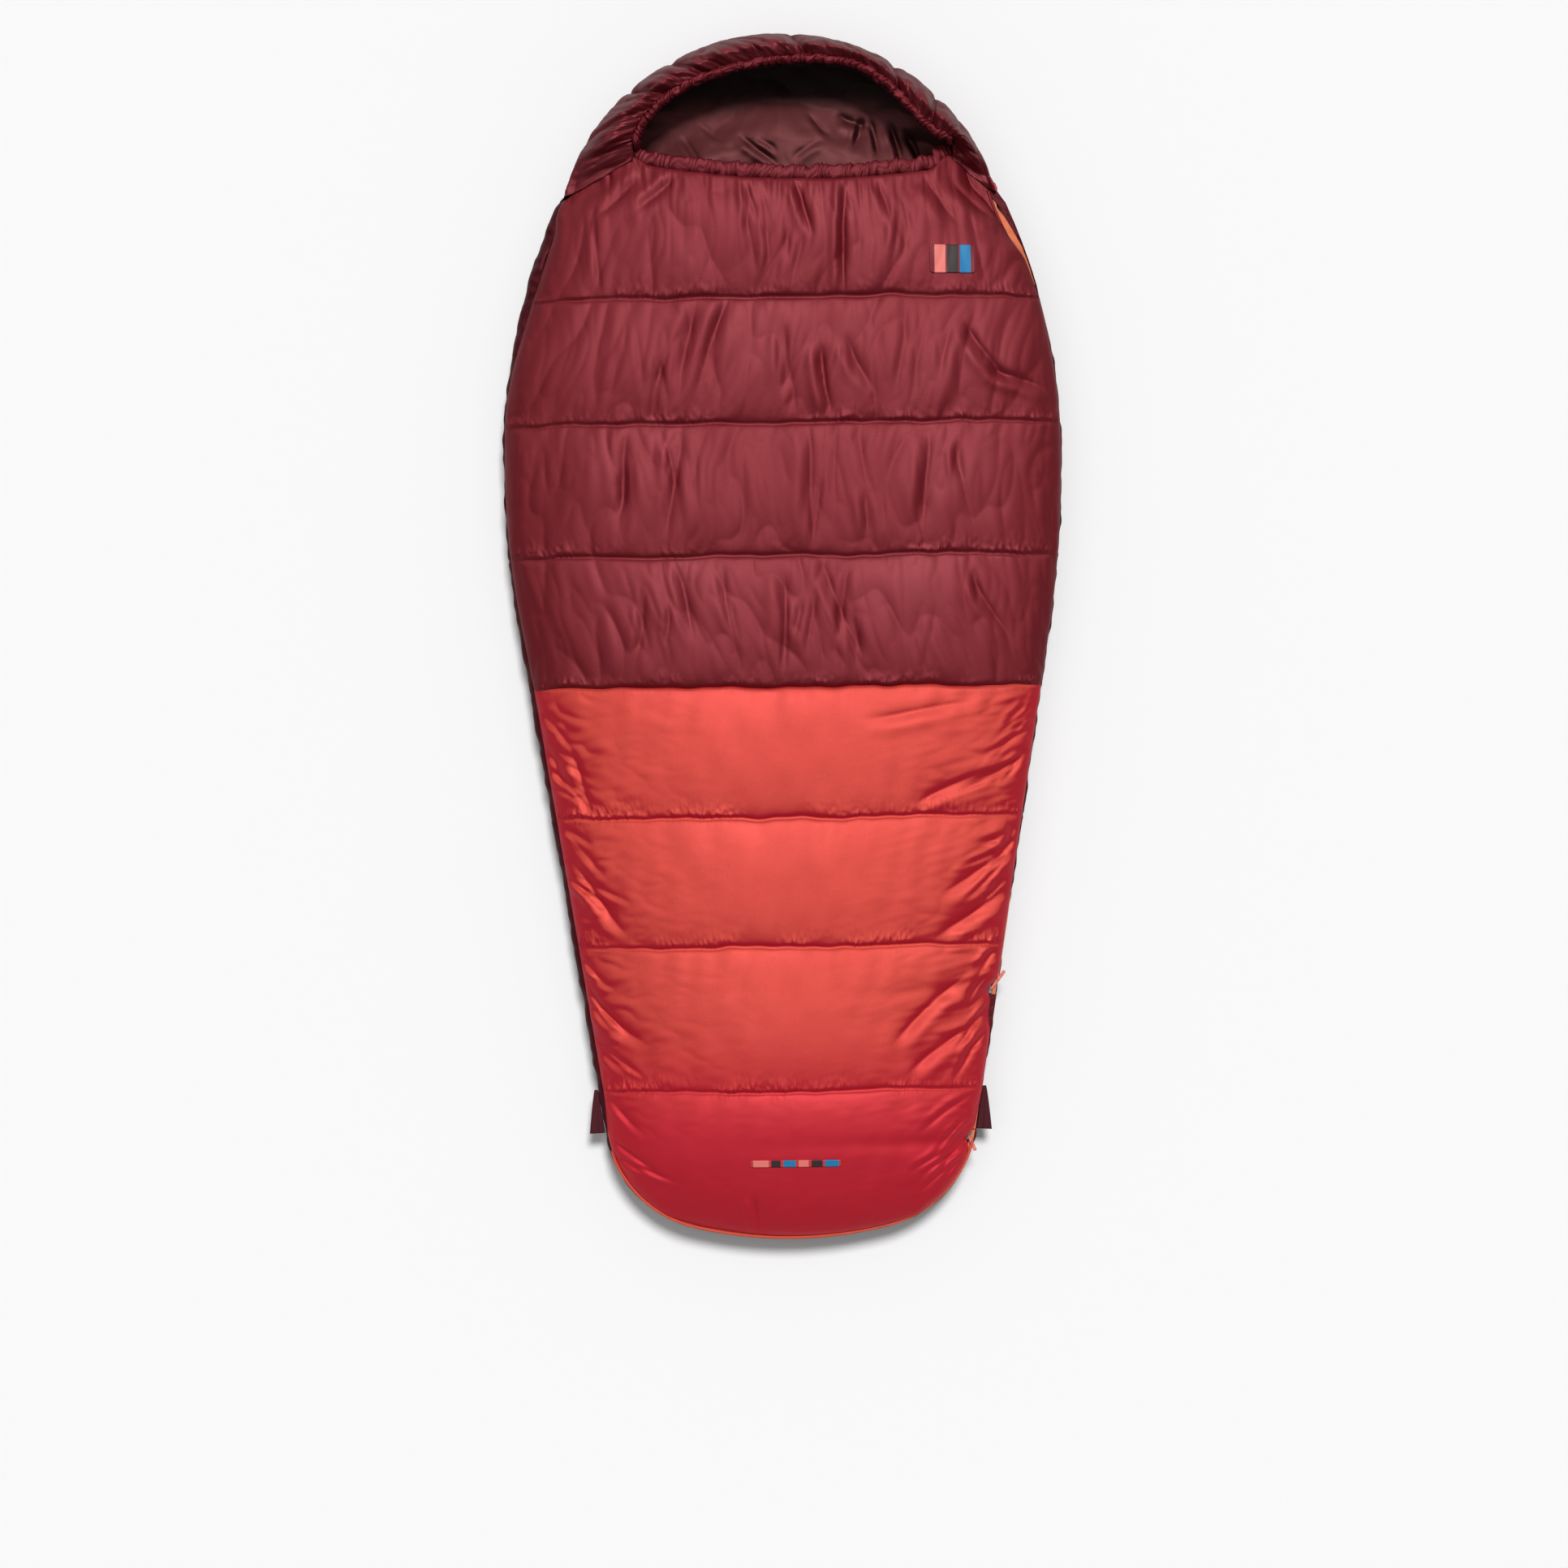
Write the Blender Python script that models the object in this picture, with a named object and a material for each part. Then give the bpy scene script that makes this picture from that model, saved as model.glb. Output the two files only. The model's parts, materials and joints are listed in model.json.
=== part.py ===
"""Child's mummy sleeping bag: quilted back, opening quilt, hood, zips, pulls and hang loops.

Metres. The bag lies on its back on the floor plane z = 0, head end towards +Y, +X to the
wearer's zip side. The quilt swings about a fold line on the -X side; the rest stays with the back.
"""
import math

import bmesh
import bpy
from mathutils import Matrix, Vector
from mathutils.bvhtree import BVHTree

# Outline: tangent arcs of the right half, as centre x, centre y and radius
HOOD_Y, HOOD_R = 0.500, 0.300
SHOULDER_X, SHOULDER_Y, SHOULDER_R = -0.444, 0.241, 0.815
HIP_X, HIP_Y, HIP_R = -1.149, 0.241, 1.520
LEG_TAPER = math.radians(9.1)
CORNER_X, CORNER_Y, CORNER_R = 0.0925, -0.6328, 0.156
END_Y, END_R = -0.262, 0.538
END_HALF_ANGLE = math.atan2(CORNER_X, END_Y - CORNER_Y)
HEAD_TIP_Y = HOOD_Y + HOOD_R
FOOT_TIP_Y = END_Y - END_R
NOTCH_LOW_Y, NOTCH_HIGH_Y = 0.575, 0.600

# Quilting: the stitched cross lines of the body, head to foot
SEAMS = (0.446, 0.281, 0.106, -0.067, -0.239, -0.410, -0.600)
COLOUR_SEAM = SEAMS[3]
HEM_SEAM_Y = 0.602
CHANNEL_STEPS = (0.0, 0.22, 0.78)
FOOT_CORNER_STEPS = (0.0, 0.28, 0.55, 0.80, 1.0)

# Heights above the floor
BACK_EDGE_LOW, BACK_EDGE_TOP = 0.0425, 0.0470
BACK_TOP_DROP, BACK_SEAM_DIP = 0.0015, 0.003
BACK_ROUND = 0.045
QUILT_EDGE_LOW, CAVITY_RISE = 0.0535, 0.021
QUILT_EDGE_THICK, QUILT_LOFT, QUILT_SEAM_DIP = 0.005, 0.042, 0.020
LOFT_RUN = 0.24
SKIN, LAYER_GAP = 0.0008, 0.0003
MARGIN_EDGE_LOW = BACK_EDGE_TOP + LAYER_GAP

# Fold line that the quilt turns about, and the quilt's inset from the zipped edge
FOLD_X = -0.195
FOLD_GAP = 0.0003
QUILT_INSET = 0.0105

# Hood band and face opening
OPEN_A, OPEN_B, OPEN_Y = 0.200, 0.112, 0.650
OPEN_CORNER_Y = 0.632
HOOD_END_ANGLE = math.radians(73.55)
HOOD_CORNER_ANGLE = math.radians(66.0)
HOOD_SEAM_ANGLES = (0.0, 30.0, 42.0)
HOOD_EDGE_THICK, HOOD_LINER_RISE, HOOD_LOFT = 0.0055, 0.036, 0.062
HOOD_RIM_DROP, HOOD_SEAM_DIP = 0.010, 0.010
HOOD_GAP_FIXED, HOOD_GAP_ZIP = 0.0004, 0.005

# Casings with their elastics
HEM_Y, HEM_SAG, HEM_HALF = 0.6110, 0.018, 0.188
HEM_WIDTH, HEM_HEIGHT, HEM_GAP, CASING_WALL = 0.0085, 0.0050, 0.0020, 0.0009
RIM_RADIUS, RIM_INSET, RIM_Z = 0.0045, 0.0065, 0.099
ELASTIC_RADIUS = 0.0021

# Zip: distances in from the outline, and heights
BACK_COIL = (0.0065, 0.0085)
BACK_TAPE = (0.0008, 0.0062)
QUILT_COIL = (0.0106, 0.0126)
QUILT_TAPE = (0.0129, 0.0260)
COIL_Z = (0.0494, 0.0514)
TAPE_Z = (0.0500, 0.0508)
ZIP_TOP_ANGLE = math.radians(24.4)
ZIP_FOLD_ANGLE = math.radians(48.0)
DRAFT_INSET, DRAFT_HALF_WIDTH, DRAFT_HALF_HEIGHT, DRAFT_Z = 0.050, 0.013, 0.0045, 0.0542

# Sliders and pulls
TRACK_INSET = 0.0075
SLIDER_HALF = 0.005
PLATE_LOW_Z, PLATE_TOP_Z, SLIDER_PLATE = 0.0478, 0.0520, 0.0010
BAIL_Z = 0.0552
BAIL_BAR, BAIL_INNER, BAIL_OUTER = 0.0005, 0.0017, 0.0025
KNUCKLE_R, KNUCKLE_BORE, KNUCKLE_HALF = 0.0016, 0.0010, 0.0013
TOP_SLIDER_ANGLE = math.radians(23.7)
LOW_SLIDER_Y = -0.472
FOOT_SLIDER_ANGLE = math.radians(-13.0)

# Hang loops, folded flat
LOOP_TOP_Y, LOOP_LOW_Y = -0.600, -0.6555
LOOP_GAP, LOOP_THICK, LOOP_REACH_TOP, LOOP_REACH_LOW = 0.0014, 0.002, 0.004, 0.021

# Patch and label, sewn on the quilt
PATCH_CENTRE, PATCH_SIZE = (0.2268, 0.494), (0.060, 0.037)
LABEL_CENTRE, LABEL_SIZE = (0.006, -0.695), (0.120, 0.009)
PATCH_THICK, PATCH_CLEARANCE = 0.0008, 0.0018

COLOURS = {
    "bordeaux": (0.26, 0.035, 0.045, 1.0),
    "coral_red": (0.66, 0.075, 0.065, 1.0),
    "wine_back": (0.105, 0.018, 0.026, 1.0),
    "wine_liner": (0.13, 0.035, 0.042, 1.0),
    "white_fill": (0.85, 0.85, 0.83, 1.0),
    "orange_tape": (0.87, 0.24, 0.11, 1.0),
    "wine_coil": (0.10, 0.02, 0.02, 1.0),
    "metal": (0.60, 0.58, 0.56, 1.0),
    "red_pull": (0.80, 0.04, 0.06, 1.0),
    "coral_pull": (0.82, 0.22, 0.19, 1.0),
    "elastic": (0.75, 0.74, 0.72, 1.0),
    "patch": (0.02, 0.22, 0.46, 1.0),
}


def clear_scene():
    for item in list(bpy.data.objects):
        bpy.data.objects.remove(item, do_unlink=True)


def material(slot, roughness=0.6, metallic=0.0):
    """One Principled material for each colour name."""
    found = bpy.data.materials.get(slot)
    if found:
        return found
    made = bpy.data.materials.new(slot)
    made.use_nodes = True
    shader = made.node_tree.nodes["Principled BSDF"]
    shader.inputs["Base Color"].default_value = COLOURS[slot]
    shader.inputs["Roughness"].default_value = roughness
    shader.inputs["Metallic"].default_value = metallic
    return made


def add_object(name, verts, faces, slot, smooth=True, roughness=0.6, metallic=0.0):
    mesh = bpy.data.meshes.new(name)
    mesh.from_pydata([tuple(v) for v in verts], [], faces)
    bm = bmesh.new()
    bm.from_mesh(mesh)
    bmesh.ops.recalc_face_normals(bm, faces=bm.faces)
    bm.to_mesh(mesh)
    bm.free()
    mesh.update()
    mesh.materials.append(material(slot, roughness, metallic))
    item = bpy.data.objects.new(name, mesh)
    bpy.context.collection.objects.link(item)
    if smooth:
        mesh.shade_smooth()
        mesh.set_sharp_from_angle(angle=math.radians(40))
    return item


# ---------------------------------------------------------------- outline and heights

def circle_x(y, centre_y, radius):
    return math.sqrt(max(0.0, radius ** 2 - (y - centre_y) ** 2))


def leg_x(y, inset):
    """Straight leg edge, tangent to the hip arc and the foot corner arc."""
    start_x = HIP_X + (HIP_R - inset) * math.cos(LEG_TAPER)
    start_y = HIP_Y - (HIP_R - inset) * math.sin(LEG_TAPER)
    return start_x + (y - start_y) * math.tan(LEG_TAPER)


def half_width(y, inset=0.0):
    """Distance from the centre line to the outline at y, drawn in by inset."""
    hood = circle_x(y, HOOD_Y, HOOD_R - inset)
    shoulder = SHOULDER_X + circle_x(y, SHOULDER_Y, SHOULDER_R - inset)
    if y >= NOTCH_HIGH_Y:
        return hood
    if y > NOTCH_LOW_Y:
        share = (y - NOTCH_LOW_Y) / (NOTCH_HIGH_Y - NOTCH_LOW_Y)
        return shoulder + (hood - shoulder) * share
    if y >= SHOULDER_Y:
        return shoulder
    if y >= HIP_Y - (HIP_R - inset) * math.sin(LEG_TAPER):
        return HIP_X + circle_x(y, HIP_Y, HIP_R - inset)
    if y >= CORNER_Y - (CORNER_R - inset) * math.sin(LEG_TAPER):
        return leg_x(y, inset)
    if y >= END_Y - (END_R - inset) * math.cos(END_HALF_ANGLE):
        return CORNER_X + circle_x(y, CORNER_Y, CORNER_R - inset)
    return circle_x(y, END_Y, END_R - inset)


def edge_distance(x, y):
    """How far a point lies inside the outline."""
    nearest = half_width(y) - abs(x)
    if y < END_Y:
        nearest = min(nearest, END_R - math.hypot(x, y - END_Y))
    if y > HOOD_Y:
        nearest = min(nearest, HOOD_R - math.hypot(x, y - HOOD_Y))
    return max(0.0, nearest)


def rounded_rise(distance, run=LOFT_RUN):
    """0 at an edge, rising steeply and rounding off to 1 at the given run."""
    share = min(max(distance, 0.0) / run, 1.0)
    return (1.0 - (1.0 - share) ** 2) ** 0.6


def channel_fullness(y):
    """0 on a stitched line, 1 in the middle of a channel."""
    lines = (HEM_SEAM_Y,) + SEAMS
    share = 0.5
    for upper, lower in zip(lines, lines[1:]):
        if lower <= y <= upper:
            share = (upper - y) / (upper - lower)
    if y > HEM_SEAM_Y:
        share = min((y - HEM_SEAM_Y) / (HEAD_TIP_Y - HEM_SEAM_Y), 0.5)
    if y < SEAMS[-1]:
        share = min((SEAMS[-1] - y) / (SEAMS[-1] - FOOT_TIP_Y), 0.5)
    return max(0.0, math.sin(math.pi * share)) ** 0.5


def floor_side(x, y):
    """Underside of the back: flat on the floor, curling up round its edge."""
    share = min(edge_distance(x, y) / BACK_ROUND, 1.0)
    return BACK_EDGE_LOW * (1.0 - math.sqrt(1.0 - (1.0 - share) ** 2))


def back_top(x, y):
    rise = rounded_rise(edge_distance(x, y))
    return BACK_EDGE_TOP - rise * (BACK_TOP_DROP + BACK_SEAM_DIP * (1.0 - channel_fullness(y)))


def quilt_low(x, y):
    return QUILT_EDGE_LOW + CAVITY_RISE * rounded_rise(edge_distance(x, y) - QUILT_INSET)


def quilt_thickness(rise, y):
    hollow = QUILT_SEAM_DIP * (1.0 - channel_fullness(y))
    return QUILT_EDGE_THICK + rise * (QUILT_LOFT - hollow)


def quilt_top(x, y):
    rise = rounded_rise(edge_distance(x, y) - QUILT_INSET)
    return quilt_low(x, y) + quilt_thickness(rise, y)


def margin_low(x, y):
    full = QUILT_EDGE_LOW + CAVITY_RISE - MARGIN_EDGE_LOW
    return MARGIN_EDGE_LOW + full * rounded_rise(edge_distance(x, y))


def margin_top(x, y):
    return margin_low(x, y) + quilt_thickness(rounded_rise(edge_distance(x, y)), y)


# ---------------------------------------------------------------- layered cloth solids

def layer(name, grid, low, high, slot):
    """A sheet between two height functions over a grid of rows of (x, y) points."""
    rows, columns = len(grid), len(grid[0])
    points = [point for row in grid for point in row]
    verts = [(x, y, high(x, y)) for x, y in points] + [(x, y, low(x, y)) for x, y in points]
    under = len(points)
    faces = []
    for r in range(rows - 1):
        for c in range(columns - 1):
            a, b = r * columns + c, r * columns + c + 1
            d, e = a + columns, b + columns
            faces += [(a, b, e), (a, e, d)]
            faces += [(under + a, under + e, under + b), (under + a, under + d, under + e)]
    rim = [c for c in range(columns)]
    rim += [r * columns + columns - 1 for r in range(1, rows)]
    rim += [(rows - 1) * columns + c for c in range(columns - 2, -1, -1)]
    rim += [r * columns for r in range(rows - 2, 0, -1)]
    for a, b in zip(rim, rim[1:] + rim[:1]):
        faces += [(a, under + a, under + b), (a, under + b, b)]
    return add_object(name, verts, faces, slot)


def raised(surface, amount):
    return lambda x, y: surface(x, y) + amount


def cloth_stack(prefix, grid, low, high, slots):
    """Liner, fill and shell on one grid, with a small gap between them. slots is (liner, shell)."""
    fill_low = raised(low, SKIN + LAYER_GAP)
    fill_high = raised(high, -SKIN - LAYER_GAP)
    layer(prefix + "_fill", grid, fill_low, fill_high, "white_fill")
    layer(prefix + "_liner", grid, low, raised(low, SKIN), slots[0])
    if slots[1]:
        layer(prefix + "_shell", grid, raised(high, -SKIN), high, slots[1])


def channel_rows(first_y):
    """Row positions from the top edge down to the last stitched line, as (upper, lower, share)."""
    lines = (first_y,) + SEAMS
    rows = [(upper, lower, step) for upper, lower in zip(lines, lines[1:]) for step in CHANNEL_STEPS]
    return rows + [(SEAMS[-1], SEAMS[-1], 0.0)]


def foot_rows(inset):
    """Rows past the last seam as (edge y, edge x, middle y), bending round the foot."""
    turn = math.pi / 2 - END_HALF_ANGLE - LEG_TAPER
    radius = CORNER_R - inset
    start_y = CORNER_Y - radius * math.sin(LEG_TAPER)
    tip_y = FOOT_TIP_Y + inset
    rows = []
    for step in FOOT_CORNER_STEPS:
        angle = LEG_TAPER + turn * step
        edge_y = CORNER_Y - radius * math.sin(angle)
        edge_x = CORNER_X + radius * math.cos(angle)
        rows.append((edge_y, edge_x, start_y + (tip_y - start_y) * step))
    return rows


def spread(left, right, shares):
    return [left + (right - left) * share for share in shares]


SIDE_SHARES = (0.0, 0.035, 0.12, 0.30, 0.5, 0.70, 0.88, 0.965, 1.0)
QUILT_SHARES = (0.0, 0.10, 0.28, 0.48, 0.66, 0.80, 0.90, 0.965, 1.0)
MARGIN_SHARES = (0.0, 0.12, 0.42, 1.0)


def foot_row(edge_y, edge_x, middle_y, left, right, shares):
    return [(x, middle_y + (edge_y - middle_y) * (x / edge_x) ** 2) for x in spread(left, right, shares)]


def back_grid():
    """Rows over the whole back, from the head tip to the foot tip."""
    grid = []
    for tilt in (12.0, 26.0, 40.0, 52.0, 63.0):
        angle = math.radians(tilt)
        edge_x, edge_y = HOOD_R * math.sin(angle), HOOD_Y + HOOD_R * math.cos(angle)
        middle_y = HEAD_TIP_Y - (HEAD_TIP_Y - HEM_SEAM_Y) * (tilt - 12.0) / 60.0
        grid.append([(x, middle_y + (edge_y - middle_y) * (x / edge_x) ** 2)
                     for x in spread(-edge_x, edge_x, SIDE_SHARES)])
    for upper, lower, step in channel_rows(HEM_SEAM_Y - 0.014):
        y = upper + (lower - upper) * step
        grid.append([(x, y) for x in spread(-half_width(y), half_width(y), SIDE_SHARES)])
    for edge_y, edge_x, middle_y in foot_rows(0.0):
        grid.append(foot_row(edge_y, edge_x, middle_y, -edge_x, edge_x, SIDE_SHARES))
    return grid


def hood_end_y(x, gap):
    """Edge between hood and quilt: a line from the opening's corner to the outline, less a gap."""
    outer_x = HOOD_R * math.sin(HOOD_END_ANGLE)
    outer_y = HOOD_Y + HOOD_R * math.cos(HOOD_END_ANGLE)
    slope = (outer_y - OPEN_CORNER_Y) / (outer_x - OPEN_A)
    return OPEN_CORNER_Y + slope * (abs(x) - OPEN_A) - gap * math.hypot(1.0, slope)


def hem_centre_y(x):
    return HEM_Y + HEM_SAG * (x / HEM_HALF) ** 2


def quilt_top_edge_y(x):
    hem = hem_centre_y(x) - HEM_WIDTH - HEM_GAP
    return min(hem, hood_end_y(x, HOOD_GAP_ZIP))


def quilt_grid():
    left = FOLD_X + FOLD_GAP
    top_right = half_width(HEM_SEAM_Y - 0.02, QUILT_INSET)
    grid = []
    for upper, lower, step in channel_rows(HEM_SEAM_Y):
        level = upper + (lower - upper) * step
        if upper == HEM_SEAM_Y:
            low_right = half_width(lower, QUILT_INSET)
            right = top_right if step == 0.0 else half_width(level - 0.02 * (1 - step), QUILT_INSET)
            right = min(right, low_right)
            row = [(x, quilt_top_edge_y(x) + (lower - quilt_top_edge_y(x)) * step)
                   for x in spread(left, right, QUILT_SHARES)]
        else:
            row = [(x, level) for x in spread(left, half_width(level, QUILT_INSET), QUILT_SHARES)]
        grid.append(row)
    for edge_y, edge_x, middle_y in foot_rows(QUILT_INSET):
        start = max(left, -edge_x)
        grid.append(foot_row(edge_y, edge_x, middle_y, start, edge_x, QUILT_SHARES))
    return grid


def margin_grid():
    """The fixed strip of quilt beside the fold line, from the hood down to the foot corner."""
    right = FOLD_X - FOLD_GAP
    outer_y = HOOD_Y + HOOD_R * math.cos(HOOD_END_ANGLE)
    grid = []
    for upper, lower, step in channel_rows(HEM_SEAM_Y):
        level = upper + (lower - upper) * step
        if upper == HEM_SEAM_Y:
            edge = outer_y - 0.003 + (lower - outer_y + 0.003) * step
            row = []
            for x in spread(-half_width(edge), right, MARGIN_SHARES):
                top = hood_end_y(x, HOOD_GAP_FIXED)
                row.append((x, top + (lower - top) * step))
            grid.append(row)
        else:
            grid.append([(x, level) for x in spread(-half_width(level), right, MARGIN_SHARES)])
    for edge_y, edge_x, middle_y in foot_rows(0.0):
        if edge_x > -right + 0.006:
            grid.append(foot_row(edge_y, edge_x, middle_y, -edge_x, right, MARGIN_SHARES))
    return grid


def split_rows(grid, seam_y):
    """Cut a grid into the rows above and below a seam, with a small gap between them."""
    cut = min(range(len(grid)), key=lambda r: abs(grid[r][0][1] - seam_y))
    upper = [list(row) for row in grid[:cut + 1]]
    lower = [list(row) for row in grid[cut:]]
    upper[-1] = [(x, y + LAYER_GAP) for x, y in upper[-1]]
    return upper, lower


def make_back():
    grid = back_grid()
    layer("back_shell", grid, floor_side, raised(floor_side, SKIN), "wine_back")
    layer("back_fill", grid, raised(floor_side, SKIN + LAYER_GAP),
          raised(back_top, -SKIN - LAYER_GAP), "white_fill")
    layer("back_liner", grid, raised(back_top, -SKIN), back_top, "wine_liner")


def make_quilt_part(prefix, grid, low, high):
    cloth_stack(prefix, grid, low, high, ("wine_liner", None))
    upper, lower = split_rows(grid, COLOUR_SEAM)
    layer(prefix + "_shell_upper", upper, raised(high, -SKIN), high, "bordeaux")
    layer(prefix + "_shell_lower", lower, raised(high, -SKIN), high, "coral_red")


# ---------------------------------------------------------------- hood

def hood_stations():
    """Angles from +Y of the hood's radial lines, right end to left end, in degrees."""
    right = [math.degrees(HOOD_END_ANGLE), math.degrees(HOOD_CORNER_ANGLE), 58, 50, 42, 36, 30, 22, 11]
    return right + [0] + [-angle for angle in reversed(right)]


def hood_band_point(degrees, share):
    """Plan point across the band: share 0 on the outline, 1 on the opening's rim."""
    angle = math.radians(degrees)
    outer = (HOOD_R * math.sin(angle), HOOD_Y + HOOD_R * math.cos(angle))
    if abs(angle) > HOOD_CORNER_ANGLE + 1e-6:
        inner = (math.copysign(OPEN_A, angle), OPEN_CORNER_Y)
    else:
        turn = math.pi / 2 * angle / HOOD_CORNER_ANGLE
        inner = (OPEN_A * math.sin(turn), OPEN_Y + OPEN_B * math.cos(turn))
    return (outer[0] + (inner[0] - outer[0]) * share, outer[1] + (inner[1] - outer[1]) * share)


def hood_seam_depth(degrees):
    """1 on a radial stitched line, 0 well away from one."""
    nearest = min(abs(abs(degrees) - seam) for seam in HOOD_SEAM_ANGLES)
    return max(0.0, 1.0 - nearest / 5.0)


def make_hood():
    shares = (0.0, 0.10, 0.35, 0.70, 1.0)
    grid, heights = [], {}
    for degrees in hood_stations():
        row = []
        for share in shares:
            point = hood_band_point(degrees, share)
            low = MARGIN_EDGE_LOW + HOOD_LINER_RISE * math.sin(math.pi / 2 * share) ** 0.8
            crown = HOOD_LOFT * rounded_rise(share, 0.8) - HOOD_RIM_DROP * max(0.0, share - 0.7) / 0.3
            dip = HOOD_SEAM_DIP * hood_seam_depth(degrees) * math.sin(math.pi / 2 * share)
            heights[point] = (low, MARGIN_EDGE_LOW + HOOD_EDGE_THICK + crown - dip)
            row.append(point)
        grid.append(row)
    cloth_stack("hood", grid, lambda x, y: heights[(x, y)][0], lambda x, y: heights[(x, y)][1],
                ("wine_liner", "bordeaux"))


# ---------------------------------------------------------------- casings, rods and strips

def ring_frames(path):
    """Centre, side and up vectors along a path."""
    frames = []
    for i, centre in enumerate(path):
        ahead = path[min(i + 1, len(path) - 1)] - path[max(i - 1, 0)]
        side = ahead.normalized().cross(Vector((0, 0, 1))).normalized()
        frames.append((centre, side, side.cross(ahead.normalized())))
    return frames


def rings(path, half_width_, half_height, sides):
    verts = []
    for centre, side, up in ring_frames(path):
        for k in range(sides):
            angle = 2 * math.pi * k / sides
            verts.append(centre + side * half_width_ * math.cos(angle) + up * half_height * math.sin(angle))
    return verts


def tube_walls(stations, sides, first):
    faces = []
    for r in range(stations - 1):
        for k in range(sides):
            a, b = first + r * sides + k, first + r * sides + (k + 1) % sides
            faces.append((a, b, b + sides, a + sides))
    return faces


def rod(name, path, half_width_, half_height, slot, sides=8):
    verts = rings(path, half_width_, half_height, sides)
    faces = tube_walls(len(path), sides, 0)
    last = (len(path) - 1) * sides
    faces += [tuple(range(sides)), tuple(range(last, last + sides))]
    return add_object(name, verts, faces, slot)


def casing(name, path, half_width_, half_height, slot, sides=8):
    """A sewn tunnel: a tube with a wall, open at both ends."""
    outer = rings(path, half_width_, half_height, sides)
    inner = rings(path, half_width_ - CASING_WALL, half_height - CASING_WALL, sides)
    count = len(outer)
    faces = tube_walls(len(path), sides, 0)
    faces += [tuple(reversed(face)) for face in tube_walls(len(path), sides, count)]
    for first in (0, count - sides):
        for k in range(sides):
            a, b = first + k, first + (k + 1) % sides
            faces.append((a, b, count + b, count + a))
    return add_object(name, outer + inner, faces, slot)


def hem_height(x):
    rise = rounded_rise(edge_distance(x, HEM_SEAM_Y - 0.01) - QUILT_INSET)
    return QUILT_EDGE_LOW + QUILT_EDGE_THICK / 2 + rise * (CAVITY_RISE + (QUILT_LOFT - QUILT_SEAM_DIP) / 2)


def make_hem():
    xs = spread(-HEM_HALF, HEM_HALF, [i / 14 for i in range(15)])
    path = [Vector((x, hem_centre_y(x), hem_height(x))) for x in xs]
    casing("quilt_hem", path, HEM_WIDTH, HEM_HEIGHT, "bordeaux")
    rod("hem_elastic", path, ELASTIC_RADIUS * 2.4, ELASTIC_RADIUS, "elastic", 6)


def make_hood_rim():
    a, b = OPEN_A - RIM_INSET, OPEN_B - RIM_INSET
    angles = [math.pi * i / 22 for i in range(23)]
    path = [Vector((a * math.cos(t), OPEN_Y + b * math.sin(t), RIM_Z)) for t in angles]
    casing("hood_rim", path, RIM_RADIUS, RIM_RADIUS, "bordeaux")
    rod("hood_elastic", path, ELASTIC_RADIUS, ELASTIC_RADIUS, "elastic", 6)


def arc_points(centre_x, centre_y, radius, start, stop, count):
    angles = [start + (stop - start) * i / count for i in range(count + 1)]
    return [(centre_x + radius * math.cos(t), centre_y + radius * math.sin(t)) for t in angles]


def side_edge(inset):
    """The zipped side edge from the shoulder to the start of the foot corner."""
    path = arc_points(SHOULDER_X, SHOULDER_Y, SHOULDER_R - inset, ZIP_TOP_ANGLE, 0.0, 12)
    path += arc_points(HIP_X, HIP_Y, HIP_R - inset, 0.0, -LEG_TAPER, 5)[1:]
    end_y = CORNER_Y - (CORNER_R - inset) * math.sin(LEG_TAPER)
    return path + [(leg_x(end_y, inset), end_y)]


def foot_edge(inset):
    """The foot zip's edge: right corner, foot end, and left corner as far as the fold line."""
    radius = CORNER_R - inset
    corner_end = -math.pi / 2 + END_HALF_ANGLE
    path = arc_points(CORNER_X, CORNER_Y, radius, -LEG_TAPER - 0.008, corner_end, 15)
    path += arc_points(0.0, END_Y, END_R - inset, corner_end, -math.pi - corner_end, 7)[1:]
    left = arc_points(-CORNER_X, CORNER_Y, radius, -math.pi - corner_end, -math.pi + ZIP_FOLD_ANGLE, 7)
    return path + left[1:]


def strip(name, edge, insets, heights, slot):
    """A flat ribbon between two insets from the outline and two heights."""
    outer, inner = edge(insets[0]), edge(insets[1])
    verts = []
    for a, b in zip(outer, inner):
        verts += [(a[0], a[1], heights[0]), (b[0], b[1], heights[0])]
        verts += [(b[0], b[1], heights[1]), (a[0], a[1], heights[1])]
    faces = tube_walls(len(outer), 4, 0)
    last = 4 * (len(outer) - 1)
    faces += [(0, 1, 2, 3), (last, last + 1, last + 2, last + 3)]
    return add_object(name, verts, faces, slot)


def make_zips():
    for zip_name, edge in (("side_zip", side_edge), ("foot_zip", foot_edge)):
        strip(zip_name + "_tape_back", edge, BACK_TAPE, TAPE_Z, "orange_tape")
        strip(zip_name + "_coil_back", edge, BACK_COIL, COIL_Z, "wine_coil")
        strip(zip_name + "_tape_quilt", edge, QUILT_TAPE, TAPE_Z, "orange_tape")
        strip(zip_name + "_coil_quilt", edge, QUILT_COIL, COIL_Z, "wine_coil")


def make_draft_tube():
    edge = [point for point in side_edge(DRAFT_INSET)][:-1]
    edge.append((leg_x(LOW_SLIDER_Y, DRAFT_INSET), LOW_SLIDER_Y))
    path = [Vector((x, y, DRAFT_Z)) for x, y in edge[1:]]
    rod("zip_draft_tube", path, DRAFT_HALF_WIDTH, DRAFT_HALF_HEIGHT, "wine_liner")


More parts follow.
